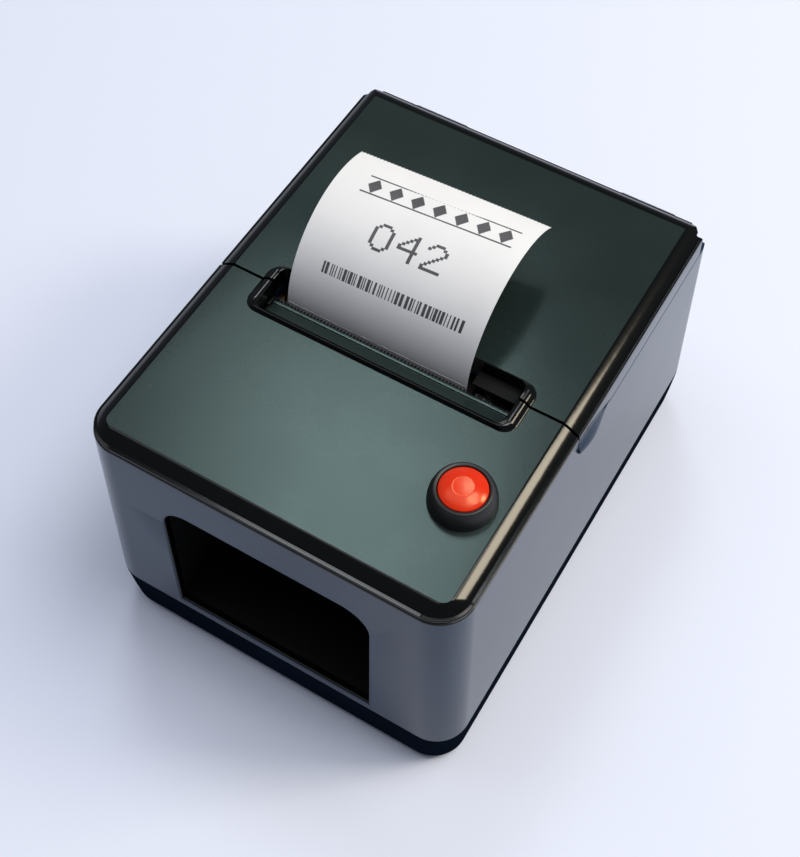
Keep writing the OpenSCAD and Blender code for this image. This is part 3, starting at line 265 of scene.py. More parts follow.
# head's ribbon: plastic film over copper, glossy; coloured brown-black as painted shade, so that it reads
# dark where it lies in the shade of the slot
ribbon_painted_shade_film = smooth_gloss("black_coverlay_ribbon_painted_shade", "#15100c", "#1d1611", 0.3)

# roll's core: wound cardboard, rough and brown, mottled by its plies
cardboard, tree, shader, where = finish_of("wound_cardboard", "#a58863", 0.8)
speckle(tree, shader, where, 0.8, 0.05, ("#927551", "#b39670"), (0.75, 0.85))

# board: solder mask over copper, a green gloss with faint straight tracks under it
solder_mask, tree, shader, where = finish_of("green_solder_mask", "#0d4a2a", 0.3)
tracks = add(tree, "ShaderNodeTexBrick", {
    "Color1": linear("#0c4527"), "Color2": linear("#0f5230"), "Mortar": linear("#15673e"),
    "Scale": every(TRACKS), "Mortar Size": 0.03}, {"Vector": where})
tree.links.new(tracks.outputs["Color"], shader.inputs["Base Color"])

# push button: polished plastic, clear bright red with a soft warm gloss
red_cap, tree, shader, where = finish_of("polished_red_abs", "#d62c12", 0.2, tint="#ffe6b4")
speckle(tree, shader, where, 1.5, 0.004, ("#cf2810", "#da3216"), (0.18, 0.24))

# print: what the head's heat brings out in the coat, a soft dark grey rather than black
thermal_ink, tree, shader, where = finish_of("thermal_ink", "#4a4a4d", 0.5)
speckle(tree, shader, where, 0.2, 0.004, ("#3a3a3d", "#5a5a5e"), (0.45, 0.55))

# paper roll: its many turns show on the end faces as fine rings, drawn coarser than real ones;
# a ring pattern of scale 1 repeats every tau / 20
wound_paper, tree, shader, where = finish_of("wound_thermal_paper", "#e9eaec", 0.6, ior=1.45)
centre = add(tree, "ShaderNodeMapping", {"Location": (0, -ROLL_Y * MM, -ROLL_Z * MM)}, {"Vector": where})
flat = add(tree, "ShaderNodeMapping", {"Scale": (0, 1, 1)}, {"Vector": centre.outputs[0]})
rings = add(tree, "ShaderNodeTexWave", {
    "wave_type": "RINGS", "rings_direction": "SPHERICAL", "Scale": math.tau / 20 * every(TURNS),
    "Distortion": 0.6, "Detail": 1.0}, {"Vector": flat.outputs[0]})
surface_from(tree, shader, rings, ("#d5d6d9", "#f0f1f3"))


# ---- Mesh tools: everything is drawn in millimetres ----

def mesh_of(name, points, faces):
    """A piece from its points and faces, with doubles merged and faces turned outwards."""
    mesh = bpy.data.meshes.new(name)
    mesh.from_pydata([(x * MM, y * MM, z * MM) for x, y, z in points], [], faces)
    shape = bmesh.new()
    shape.from_mesh(mesh)
    bmesh.ops.remove_doubles(shape, verts=shape.verts, dist=1e-7)
    bmesh.ops.recalc_face_normals(shape, faces=shape.faces)
    shape.to_mesh(mesh)
    shape.free()
    piece = bpy.data.objects.new(name, mesh)
    bpy.context.scene.collection.objects.link(piece)
    return piece


def ring_loft(name, rings, closed=False):
    """Skin over rings of the same number of points, capped, or closed round like a tube."""
    n = len(rings[0])
    points = [p for ring in rings for p in ring]
    spans = range(len(rings)) if closed else range(len(rings) - 1)
    faces = []
    for i in spans:
        j = (i + 1) % len(rings)
        for k in range(n):
            m = (k + 1) % n
            faces.append((i * n + k, i * n + m, j * n + m, j * n + k))
    if not closed:
        faces.append(tuple(range(n - 1, -1, -1)))
        faces.append(tuple(range((len(rings) - 1) * n, len(rings) * n)))
    return mesh_of(name, points, faces)


# how (across, up, along) lies when a shape is pushed or turned along X, Y or Z
PLACE = {0: lambda u, v, w: (w, u, v), 1: lambda u, v, w: (u, w, v), 2: lambda u, v, w: (u, v, w)}


def prism(outline, low, high, axis=2):
    """A flat outline pushed from low to high along an axis."""
    return ring_loft("prism", [[PLACE[axis](u, v, w) for u, v in outline] for w in (low, high)])


def block(low, high):
    """A box between two opposite corners."""
    return prism([(low[0], low[1]), (high[0], low[1]), (high[0], high[1]), (low[0], high[1])],
                 low[2], high[2])


def behind(y, low=60.0, half=FAR):
    """Cutter for what lies behind y and over low."""
    return block((-half, y, low), (half, FAR, FAR))


def before(y, low=60.0):
    """Cutter for what lies in front of y and over low."""
    return block((-FAR, -FAR, low), (FAR, y, FAR))


def circle(r, at=(0, 0), n=64):
    return [(at[0] + r * math.cos(2 * math.pi * i / n), at[1] + r * math.sin(2 * math.pi * i / n))
            for i in range(n)]


def arc(at, r, start, end, steps):
    """Points round a middle from one angle to another, in degrees."""
    angles = [math.radians(start + (end - start) * i / steps) for i in range(steps + 1)]
    return [(at[0] + r * math.cos(a), at[1] + r * math.sin(a)) for a in angles]


def rounded(w, d, r, at=(0, 0), steps=14):
    """Rounded rectangle, w by d, anticlockwise."""
    return [p for cx, cy, start in ((1, 1, 0), (-1, 1, 90), (-1, -1, 180), (1, -1, 270))
            for p in arc((at[0] + cx * (w / 2 - r), at[1] + cy * (d / 2 - r)), r, start, start + 90, steps)]


def turned(name, profile, at, n=96, closed=False):
    """A turned piece about an upright axis from (radius, height) pairs."""
    return ring_loft(name, [[(x, y, z) for x, y in circle(r, at, n)] for r, z in profile], closed)


def applied(piece):
    """The piece with its modifiers turned into plain mesh."""
    ready = piece.evaluated_get(bpy.context.evaluated_depsgraph_get())
    mesh = bpy.data.meshes.new_from_object(ready)
    piece.modifiers.clear()
    old = piece.data
    piece.data = mesh
    bpy.data.meshes.remove(old)
    return piece


def joined(piece, others, operation):
    """Boolean of a piece with others, which are used up."""
    for other in others:
        step = piece.modifiers.new("step", "BOOLEAN")
        step.operation = operation
        step.solver = "EXACT"
        step.object = other
    applied(piece)
    for other in others:
        bpy.data.objects.remove(other)
    return piece


def cut(piece, *others):
    return joined(piece, others, "DIFFERENCE")


def weld(piece, *others):
    return joined(piece, others, "UNION")


def common(piece, *others):
    return joined(piece, others, "INTERSECT")


def bored(piece, places, r, low, high, n=32):
    """Upright round holes cut in a piece."""
    return cut(piece, *[prism(circle(r, p, n), low, high) for p in places])


def together(name, pieces):
    """Several separate shapes as one mesh."""
    shape = bmesh.new()
    for piece in pieces:
        shape.from_mesh(piece.data)
        bpy.data.objects.remove(piece)
    mesh = bpy.data.meshes.new(name)
    shape.to_mesh(mesh)
    shape.free()
    whole = bpy.data.objects.new(name, mesh)
    bpy.context.scene.collection.objects.link(whole)
    return whole


def softened(piece, width, angle=32, segments=2):
    """Rounds every edge that is sharper than angle, as a mould leaves it."""
    edge = piece.modifiers.new("edge", "BEVEL")
    edge.width = width * MM
    edge.segments = segments
    edge.limit_method = "ANGLE"
    edge.angle_limit = math.radians(angle)
    return applied(piece)


def smooth(piece, angle):
    """Smooth shading in which large flat faces stay flat up to their rounded edges."""
    piece.data.shade_smooth()
    piece.data.set_sharp_from_angle(angle=math.radians(angle))
    even = piece.modifiers.new("even", "WEIGHTED_NORMAL")
    even.mode = "FACE_AREA"
    even.weight = 100
    even.keep_sharp = True
    return applied(piece)


def off_the_flat(at, normal):
    """All of a top plate but its grained flat: the faces that take the near-black gloss, whose dark colour
    is painted shade.
    """
    level, upright = 0.02, 0.99
    return abs(at.z - TOP_Z) > level or normal.z < upright


def rim_or_reveal_painted_shade(at, normal):
    """The body's upper rim, in the shadow of the plates, and the sides of the bay's opening: faces given the
    near-black gloss as painted shade.
    """
    rim, deep, facing = 0.45, 9.0, -0.9
    in_bay = (abs(at.x) < BAY_HALF + 1.5 and BAY_LOW - 0.9 < at.z < BAY_HIGH + 1
              and at.y < -CASE_D / 2 + deep and normal.y > facing)
    return at.z > RIM_Z - rim or in_bay


def polish_with_painted_shade(piece, chosen):
    """Gives the chosen faces the near-black gloss: the polish of the mould's edges, with painted shade in
    its dark colour.
    """
    piece.data.materials.append(near_black_gloss_painted_shade)
    for face in piece.data.polygons:
        if chosen(face.center / MM, face.normal):
            face.material_index = 1


def dressed(piece, name, material, body, *nodes, slot, angle=35, polished=None):
    """Names a finished piece, gives it its material, and hands it to its body; the faces that polished picks
    get the near-black gloss, whose dark colour is painted shade.
    """
    piece.name = name
    piece.data.name = name
    piece.data.materials.clear()
    piece.data.materials.append(material)
    if polished:
        polish_with_painted_shade(piece, polished)
    smooth(piece, angle)
    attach(piece, body)
    if nodes:
        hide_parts(*nodes)


# ---- Outlines of the case ----

def leaned(z):
    """How far the leaning walls stand in at a height."""
    return LEAN * (z - SEAM_Z) / (RIM_Z - SEAM_Z)


def plan(inset, off=0.0, sharper=0.0):
    """The case's outline drawn in; sharper makes the corners of inner outlines tighter."""
    r = max(CORNER - off * (1 + sharper * off), 1.0)
    return rounded(CASE_W - 2 * (inset + off), CASE_D - 2 * (inset + off), r, steps=20)


def plan_loft(name, levels, closed=False, sharper=0.0):
    """Levels are (inset, off, height)."""
    return ring_loft(name, [[(x, y, z) for x, y in plan(i, o, sharper)] for i, o, z in levels], closed)


# ---- Body of the case ----

def bay_cutter():
    """The bay's opening with its soft outer edge, sheared to follow the leaning wall."""
    def outline(grow):
        edge = [(-BAY_HALF - grow, BAY_LOW - grow), (BAY_HALF + grow, BAY_LOW - grow)]
        for x, start in ((BAY_HALF - BAY_R, 0), (-BAY_HALF + BAY_R, 90)):
            edge += arc((x, BAY_HIGH - BAY_R), BAY_R + grow, start, start + 90, 12)
        return edge

    rings = []
    for depth in [-2.0] + [BAY_SOFT * i / 5 for i in range(6)] + [8.0]:
        inside = min(max(BAY_SOFT - depth, 0.0), BAY_SOFT)
        grow = BAY_SOFT - math.sqrt(max(BAY_SOFT * BAY_SOFT - inside * inside, 0.0))
        rings.append([(x, -CASE_D / 2 + leaned(z) + depth, z) for x, z in outline(grow)])
    return ring_loft("bay", rings)


def cover_shelf(at):
    """Bracket on the side wall, bored for one of the front cover's screws."""
    low, high, r, wall_x = 72, 75, 4.5, 51
    x, y = at
    left, right = sorted((x, math.copysign(wall_x, x)))
    shelf = weld(prism(circle(r, at), low, high), block((left, y - r, low), (right, y + r, high)))
    return bored(shelf, [at], CLEAR_M25, low - 1, high + 1)


def case_post(at):
    """Corner post that a case screw bites from below."""
    return bored(prism(circle(4.5, at), 20.3, 34.0), [at], CORE_M3, 19, 32)


def hinge_fork(middle, side):
    """One of the two ears that hold a hinge pin."""
    thick, off, foot_z, bore = 5.0, 5.5, 70, 1.52
    x0 = middle + side * off - thick / 2
    outline = [(HINGE_Y + KNUCKLE_R, foot_z)] + arc((HINGE_Y, HINGE_Z), KNUCKLE_R, 0, 180, 24)
    ear = prism(outline + [(HINGE_Y - KNUCKLE_R, foot_z)], x0, x0 + thick, axis=0)
    return cut(ear, prism(circle(bore, (HINGE_Y, HINGE_Z), 48), x0 - 1, x0 + thick + 1, axis=0))


def case_shell():
    shoulder_z, shoulder_t, rear_y = 71.0, 2.0, 61.2          # low ledge behind the lid
    cheek_x, cheek_y = 51.4, 66.6                             # thin sides left beside the lid's back
    walls = [(0.0, 0.45, SEAM_Z)]
    walls += [(leaned(z), off, z) for off, z in (
        (0.13, SEAM_Z + 0.15), (0, SEAM_Z + 0.5), (0, 40), (0, 62), (0, RIM_Z - 0.5), (0.12, RIM_Z - 0.15))]
    walls += [(LEAN, 0.42, RIM_Z), (LEAN, WALL, RIM_Z), (leaned(SEAM_Z), WALL, SEAM_Z)]
    shell = plan_loft("case_shell", walls, closed=True)
    cut(shell, behind(SPLIT_Y, SKIRT_Z - 0.2), behind(rear_y, shoulder_z, cheek_x),
        behind(cheek_y, shoulder_z), bay_cutter())
    shoulder = ring_loft("shoulder", [
        [(x, max(y, rear_y + 0.3), z) for x, y in plan(leaned(shoulder_z), WALL / 2)]
        for z in (shoulder_z - shoulder_t, shoulder_z)])
    weld(shell, shoulder, *[cover_shelf(p) for p in COVER_SCREWS], *[case_post(p) for p in CASE_SCREWS],
         *[hinge_fork(middle, side) for middle in (-HINGE_X, HINGE_X) for side in (-1, 1)])
    softened(shell, 0.25, angle=40)
    dressed(shell, "body_shell", slate_abs, "case", "case_body", slot="slate_abs", polished=rim_or_reveal_painted_shade)


case_shell()


# ---- Geometry Nodes for what repeats ----

def flow(name, inputs):
    """An empty node tree with named inputs, and the sockets of its input node."""
    tree = bpy.data.node_groups.new(name, "GeometryNodeTree")
    tree.interface.new_socket("Geometry", in_out="INPUT", socket_type="NodeSocketGeometry")
    for label, kind in inputs:
        tree.interface.new_socket(label, in_out="INPUT", socket_type="NodeSocket" + kind)
    tree.interface.new_socket("Geometry", in_out="OUTPUT", socket_type="NodeSocketGeometry")
    return tree, add(tree, "NodeGroupInput").outputs


def finished_flow(tree, copies, finish):
    """Ends a tree: its instances become plain mesh, with their material."""
    whole = add(tree, "GeometryNodeRealizeInstances", links={"Geometry": copies})
    made = add(tree, "GeometryNodeSetMaterial", links={"Geometry": whole.outputs[0], "Material": finish})
    add(tree, "NodeGroupOutput", links={"Geometry": made.outputs[0]})
    return tree


def grid_of_items():
    """One item in rows and columns, at a pitch, about a middle point."""
    tree, given = flow("items_in_a_grid", [
        ("Item", "Object"), ("Columns", "Int"), ("Rows", "Int"), ("Column pitch", "Float"),
        ("Row pitch", "Float"), ("Middle", "Vector"), ("Finish", "Material")])
    spans = []
    for count, pitch in (("Columns", "Column pitch"), ("Rows", "Row pitch")):
        gaps = add(tree, "ShaderNodeMath", {"operation": "SUBTRACT", 1: 1.0}, {0: given[count]})
        spans.append(add(tree, "ShaderNodeMath", {"operation": "MULTIPLY"},
                         {0: gaps.outputs[0], 1: given[pitch]}).outputs[0])
    grid = add(tree, "GeometryNodeMeshGrid", links={
        "Size X": spans[0], "Size Y": spans[1], "Vertices X": given["Columns"], "Vertices Y": given["Rows"]})
    item = add(tree, "GeometryNodeObjectInfo", {"As Instance": True}, {"Object": given["Item"]})
    copies = add(tree, "GeometryNodeInstanceOnPoints", links={
        "Points": grid.outputs["Mesh"], "Instance": item.outputs["Geometry"]})
    placed = add(tree, "GeometryNodeTransform", links={
        "Geometry": copies.outputs["Instances"], "Translation": given["Middle"]})
    return finished_flow(tree, placed.outputs["Geometry"], given["Finish"])


def items_on_points():
    """One item at each given point, each turned by its own seeded angle about Z."""
    tree, given = flow("items_on_points", [
        ("Item", "Object"), ("Most turn", "Float"), ("Seed", "Int"), ("Finish", "Material")])
    item = add(tree, "GeometryNodeObjectInfo", {"As Instance": True}, {"Object": given["Item"]})
    # input 3 and output 1 are the plain number's own, among those for vectors and whole numbers
    angle = add(tree, "FunctionNodeRandomValue", {"data_type": "FLOAT"},
                {3: given["Most turn"], "Seed": given["Seed"]})
    turn = add(tree, "ShaderNodeCombineXYZ", links={"Z": angle.outputs[1]})
    copies = add(tree, "GeometryNodeInstanceOnPoints", links={
        "Points": given["Geometry"], "Instance": item.outputs["Geometry"], "Rotation": turn.outputs[0]})
    return finished_flow(tree, copies.outputs["Instances"], given["Finish"])


GRID, SCATTER = grid_of_items(), items_on_points()


def run_flow(name, tree, points, values):
    """Runs a tree over a mesh of points, if it needs any, and keeps the plain mesh that comes out."""
    piece = mesh_of(name, points, [])
    step = piece.modifiers.new("step", "NODES")
    step.node_group = tree
    for socket in tree.interface.items_tree:
        if socket.in_out == "INPUT" and socket.name in values:
            step[socket.identifier] = values[socket.name]
    applied(piece)
    bpy.data.objects.remove(values["Item"])
    return piece


# ---- Tray and feet ----

def tray():
    base_z, foot, curve, lip_z = 2.0, 1.0, 1.6, 17.5          # foot: how far the base stands in
    levels = [(foot, curve * (1 - math.sin(a)), base_z + curve * (1 - math.cos(a)))
              for a in (math.radians(18 * i) for i in range(6))]
    levels += [(foot * 0.45, 0, 10.0), (0, 0, lip_z - 0.4), (0, 0.12, lip_z - 0.12), (0, 0.4, lip_z)]
    # tongue that stands up into the body, then the inside down to the floor
    levels += [(0, 2.5, lip_z), (0, 2.5, 19.6), (0, 2.7, 19.8), (0, 4.6, 19.8), (0, 4.6, 4.2)]
    shell = plan_loft("tray", levels)
    inside_z = 2.5
    posts = [prism(circle(4.2, p, 40), inside_z, 20) for p in CASE_SCREWS]
    posts += [prism(circle(4.5, p, 40), inside_z, 10) for p in CHASSIS_SCREWS]
    posts += [prism(circle(3.0, p, 32), inside_z, 24) for p in BOARD_SCREWS]
    weld(shell, *posts)
    vent = prism(rounded(2.4, 24, 1.08, steps=5), 1, 6)
    vents = run_flow("vents", GRID, [(0, 0, 0)], {
        "Item": vent, "Columns": 9, "Rows": 2, "Column pitch": 6 * MM, "Row pitch": 48 * MM,
        "Middle": (0, 0, 0), "Finish": slate_abs})
    head_bore, foot_recess = 3.2, 6.3
    holes = [prism(circle(head_bore, p, 40), 1, 12) for p in CASE_SCREWS]
    holes += [prism(circle(head_bore, p, 40), 1, 6) for p in CHASSIS_SCREWS]
    holes += [prism(circle(CLEAR_M3, p, 32), 3, 21) for p in CASE_SCREWS + CHASSIS_SCREWS]
    holes += [prism(circle(CORE_M25, p, 24), 16, 25) for p in BOARD_SCREWS]
    holes += [prism(circle(foot_recess, p, 64), 1, 2.8) for p in FEET]
    cut(shell, vents, *holes)
    softened(shell, 0.2, angle=50)
    # the tray's darker, unreflecting material is painted shade
    dressed(shell, "tray_shell", tray_painted_shade_abs, "case", "base_tray", slot="slate_abs_tray")


def feet():
    """Round pads with a soft lower edge and a shallow dimple."""
    pads = [turned("foot", [(0.01, 0.25), (3.2, 0.2), (4.4, 0.0), (5.3, 0.0), (5.75, 0.15), (6.0, 0.6),
                            (6.0, 2.8), (0.01, 2.8)], p, 64) for p in FEET]
    dressed(together("feet", pads), "foot_pads", foot_rubber, "case", "rubber_feet", slot="foot_rubber")


tray()
feet()


# ---- Top plates, with the rim round the slot ----

def border(steps=8):
    """Sloping border as (in from the edge, height), steep at the ledge and shallow at the flat."""
    ledge, ledge_z, wide = 1.1, 85.8, 3.7
    tall, steep, shallow = TOP_Z - ledge_z, math.radians(44.7), math.radians(22.7)
    run, rise = math.sin(steep) - math.sin(shallow), math.cos(shallow) - math.cos(steep)
    slopes = [steep + (shallow - steep) * i / steps for i in range(1, steps + 1)]
    return [(ledge + wide * (math.sin(steep) - math.sin(a)) / run,
             ledge_z + tall * (math.cos(a) - math.cos(steep)) / rise) for a in slopes]


# edge of a top plate as (in from the edge, height): foot, ledge and border
SEAT = [(3.4, RIM_Z), (1.4, RIM_Z), (1.4, 85.0)]
PLATE = [(0.55, 85.0), (0.3, 85.12), (0.3, 85.5), (0.42, 85.66), (0.8, 85.66), (0.86, 85.8), (1.1, 85.8)]
PLATE += border()
RIM_OUT = (78.0, 16.2, 4.0)         # foot of the rim round the slot: length, width and corner
RIM_WEB = 0.43                      # the rim is solid out to this share of its width
SLOT_MID = (SLOT_Y0 + SLOT_Y1) / 2


def slot_ring(t, z):
    """Outline between the slot's edge, at t = 0, and the foot of its rim, at t = 1."""
    inner = rounded(SLOT_L, SLOT_Y1 - SLOT_Y0, SLOT_R, (0, SLOT_MID))
    outer = rounded(*RIM_OUT, (0, SLOT_MID))
    return [(a[0] + (b[0] - a[0]) * t, a[1] + (b[1] - a[1]) * t, z) for a, b in zip(inner, outer)]


def slot_rim(bottom):
    """Raised rim: a fine inner lip, a shallow groove and a rounded outer slope with a soft foot."""
    profile = [(0, bottom), (0, 89.2), (0.04, 89.42), (0.1, 89.5), (0.17, 89.44), (0.22, 89.26),
               (0.28, 89.22), (0.36, 89.3), (0.48, 89.24), (0.6, 89.02), (0.72, 88.7), (0.83, 88.36),
               (0.92, 88.12), (1, TOP_Z), (1, TOP_Z - 1), (RIM_WEB, TOP_Z - 1), (RIM_WEB, bottom)]
    return ring_loft("rim", [slot_ring(t, z) for t, z in profile], closed=True)


def slot_hole(t=0.15, low=60, high=95):
    return ring_loft("hole", [slot_ring(t, z) for z in (low, high)])


def bar_shelf():
    """Trough under the slot's front half that carries the tear bar."""
    return cut(block((-37, -21.5, 80.7), (37, -14.2, 83.4)),
               block((-SLOT_L / 2, SLOT_Y0, BAR_SEAT_Z), (SLOT_L / 2, -13, 90)))


def locating_lip():
    """Lip under the plate that drops inside the body's rim."""
    corners = ((2.5, 82.1), (2.5, 85.2), (3.7, 85.2), (3.7, 82.1))
    lip = plan_loft("lip", [(LEAN, off, z) for off, z in corners], closed=True)
    return cut(lip, behind(-13.3))


def front_cover():
    under_z, button_bore = 86.0, 6.05
    levels = [(LEAN, off, z) for off, z in [(6.2, under_z)] + SEAT + PLATE]
    plate = plan_loft("front", levels, sharper=0.1)
    cut(plate, slot_hole(), prism(circle(button_bore, BUTTON, 72), 60, 95))
    weld(plate, slot_rim(82.6))
    posts = [bored(prism(circle(3.5, p, 40), 75, under_z + 0.2), [p], CORE_M25, 74, 84, 24)
             for p in COVER_SCREWS]
    weld(plate, bar_shelf(), locating_lip(), *posts)
    cut(plate, behind(SPLIT_Y - GAP))
    softened(plate, 0.14, angle=28)
    dressed(plate, "front_cover", top_abs, "case", "front_top_cover", slot="green_black_abs", angle=30,
            polished=off_the_flat)


def lid_outline(w):
    """The lid's inner outline, with cut rear corners."""
    return [(-w, SPLIT_Y + GAP), (w, SPLIT_Y + GAP), (w, REAR_Y - LID_CORNER), (w - LID_CORNER, REAR_Y),
            (-w + LID_CORNER, REAR_Y), (-w, REAR_Y - LID_CORNER)]


def panel_outline(w, inner):
    """The panel's side ledges end short of its cut rear corners, in rounded ends."""
    end = RAIL_END_Y - 1.2
    right = [(w, SPLIT_Y + GAP), (w, end - 0.9), (w - 0.25, end - 0.25), (inner + 0.3, end), (inner, end),
             (inner, REAR_Y - LID_CORNER), (inner - LID_CORNER, REAR_Y)]
    return right + [(-x, y) for x, y in reversed(right)]


def panel_blank():
    """The lid's panel before its slot: the plate's edge on both sides, rolled down at the rear."""
    edge = CASE_W / 2 - LEAN
    side = [(edge - off, z) for off, z in SEAT[1:] + PLATE]
    blank = prism([(-x, z) for x, z in reversed(side)] + side, SPLIT_Y + GAP, REAR_Y, axis=1)
    inside_y, roll_r = -20, 6
    rear = [(inside_y, RIM_Z), (REAR_Y, RIM_Z), (REAR_Y, 85.5), (REAR_Y - 0.1, 85.6), (REAR_Y - 0.5, 85.6)]
    rear += arc((REAR_Y - 5.3, TOP_Z - roll_r), roll_r, 39, 90, 17) + [(inside_y, TOP_Z)]
    return common(blank, prism(rear, -70, 70, axis=0), prism(panel_outline(52.35, 50.9), 80, 92))


def lid_panel():
    panel = panel_blank()
    hollow = cut(block((-46.25, -9.6, 80), (46.25, 58, 86)), slot_hole(RIM_WEB, 70),
                 *[prism(circle(3, p, 32), 70, 95) for p in LID_SCREWS])
    cut(panel, hollow, slot_hole())
    weld(panel, cut(slot_rim(RIM_Z), before(SPLIT_Y + GAP)))
    bored(panel, LID_SCREWS, CORE_M25, 80, 87, 24)
    softened(panel, 0.14, angle=28)
    dressed(panel, "lid_panel", lid_abs_painted_light, "lid", "lid_top_panel", slot="green_black_abs", angle=30,
            polished=off_the_flat)


def gear_guard():
    """Small cover in the slot's right end that keeps fingers off the platen's gear; dressed near-black as
    painted shade, so that the slot's end reads as black shadow.
    """
    guard = softened(block((22.5, SPLIT_Y + GAP + 0.05, 84.65), (35.45, -6.55, 85.6)), 0.15, segments=3)
    dressed(guard, "gear_guard", black_abs_painted_shade, "lid", slot="green_black_abs")


def finger_grip(side):
    """Lip that swells out of the skirt's lower edge, where a finger lifts the lid."""
    stations = [(-11.1, 0.7), (-9.5, 1.05), (-7.5, 1.35), (-4.8, 1.5), (-2.5, 1.3), (0.5, 0.85), (3, 0.45),
                (5, 0.18), (6.6, 0.02)]                       # place along the lid, swell
    low, most = CASE_W / 2 - leaned(SKIRT_Z), 1.5
    rings = []
    for y, swell in stations:
        tall = 0.8 + 3.6 * min(swell / most + 0.1, 1)
        x_high = CASE_W / 2 - leaned(SKIRT_Z + tall) - 0.03
        points = [(low - 1.2, 0), (low + swell - 0.25, 0), (low + swell, 0.25), (low + swell * 0.96, 0.7),
                  (low + swell * 0.6, 0.6 + tall * 0.35), (x_high + swell * 0.18, tall * 0.75),
                  (x_high, tall), (x_high - 1, tall)]
        rings.append([(side * x, y, SKIRT_Z + z) for x, z in points])
    return ring_loft("grip", rings)


def lid_ear(side):
    """Knuckle between the forks of one hinge."""
    half, front_y, low_z, high_z = 2.7, 63.5, 71.9, 78.1
    knuckle = arc((HINGE_Y, HINGE_Z), KNUCKLE_R, 95, -89, 23) + [(front_y, low_z), (front_y, high_z)]
    return prism(knuckle, side * HINGE_X - half, side * HINGE_X + half, axis=0)


def platen_arm(side):
    """Arm under the deck that holds one end of the platen roller."""
    r, inner, thick, deck_z = 4, 36.2, 2.2, 82.8
    low = min(side * inner, side * (inner + thick))
    arm = arc((PLATEN_Y, PLATEN_Z), r, 180, 360, 18) + [(PLATEN_Y + r, deck_z), (PLATEN_Y - r, deck_z)]
    return prism(arm, low, low + thick, axis=0)


def lid_frame():
    deck_w, deck_z, bush_bore, pin_bore = 50.8, 82.6, 3.02, 1.55
    skirt_edge = [(leaned(SKIRT_Z), 0.35, SKIRT_Z), (leaned(77.9), 0.1, 77.95), (leaned(78.2), 0, 78.2),
                  (leaned(84.1), 0, 84.1), (leaned(84.45), 0.12, 84.45), (LEAN, 0.42, RIM_Z),
                  (LEAN, WALL, RIM_Z), (leaned(SKIRT_Z), WALL, SKIRT_Z)]
    skirt = plan_loft("skirt", skirt_edge, closed=True)
    cut(skirt, before(SPLIT_Y + GAP), behind(RAIL_END_Y))
    deck = prism(lid_outline(deck_w), deck_z, RIM_Z)
    back = cut(prism(lid_outline(deck_w), 72, RIM_Z),
               prism([(x, y - WALL) for x, y in lid_outline(deck_w - WALL)], 60, 95),
               before(RAIL_END_Y - 0.3))
    weld(skirt, deck, back, *[make(side) for make in (finger_grip, lid_ear, platen_arm) for side in (-1, 1)])
    holes = [prism(circle(bush_bore, (PLATEN_Y, PLATEN_Z), 40), -60, 60, axis=0),
             prism(circle(pin_bore, (HINGE_Y, HINGE_Z), 40), -60, 60, axis=0)]
    holes += [prism(circle(CLEAR_M25, p, 24), 80, 90) for p in LID_SCREWS]
    cut(skirt, slot_hole(0, 77, 90), block((-SLOT_L / 2, SLOT_Y0, 77.5), (SLOT_L / 2, SLOT_Y1, 90)), *holes)
    softened(skirt, 0.16, angle=40)
    dressed(skirt, "lid_shell", slate_abs, "lid", "lid_frame", slot="slate_abs", polished=rim_or_reveal_painted_shade)


front_cover()
lid_panel()
gear_guard()
lid_frame()


# ---- Tear bar ----

def tear_bar():
    half, blade_y, blade_z = 34.5, -13.3, 84.0
    bar = prism([(-20.0, BAR_SEAT_Z), (-14.2, BAR_SEAT_Z), (-12.95, 82.95), (-12.95, 83.5), (blade_y, 83.55),
                 (blade_y, blade_z), (-14.1, blade_z), (-14.25, 83.6), (-20.0, 84.5)], -half, half, axis=0)
    softened(bar, 0.07, angle=30)
    pitch, tip = 1.0, 0.04                  # a tooth is as wide as the pitch at its root
    corners = [(x, y, z) for y, half_w, low, high in ((-0.1, pitch / 2, -0.5, 0), (0.9, tip, -0.38, -0.14))
               for z in (low, high) for x in (-half_w, half_w)]
    tooth = mesh_of("tooth", corners, [(0, 2, 3, 1), (0, 1, 5, 4), (2, 6, 7, 3), (4, 5, 7, 6), (0, 4, 6, 2),
                                       (1, 3, 7, 5)])
    teeth = run_flow("teeth", GRID, [(0, 0, 0)], {
        "Item": tooth, "Columns": 68, "Rows": 1, "Column pitch": pitch * MM, "Row pitch": pitch * MM,
        "Middle": (0, blade_y * MM, blade_z * MM), "Finish": gloss_abs})
    dressed(bar, "tear_bar_body", lid_abs_painted_light, "case", "tear_bar", slot="gloss_black_abs")
    dressed(teeth, "tear_bar_teeth", gloss_abs, "case", slot="gloss_black_abs", angle=20)


tear_bar()


# ---- Ticket: a curl of paper with a plain number and generic marks ----

PAPER_X0, PAPER_X1 = -31.5, 21.5
CURL_Y, CURL_Z, CURL_R = 14.8, 80.4, 26.6
CURL_START, CURL_SWEEP, TWIST = 172.2, 113.0, 0.097


def on_curl(x, angle, r):
    """A point of the curl; the strip came off the roll slightly askew, so it is twisted a little."""
    askew = 1 + TWIST * (x - (PAPER_X0 + PAPER_X1) / 2) / (PAPER_X1 - PAPER_X0)
    a = math.radians(CURL_START - (CURL_START - angle) * askew)
    return (x, CURL_Y + r * math.cos(a), CURL_Z + r * math.sin(a))


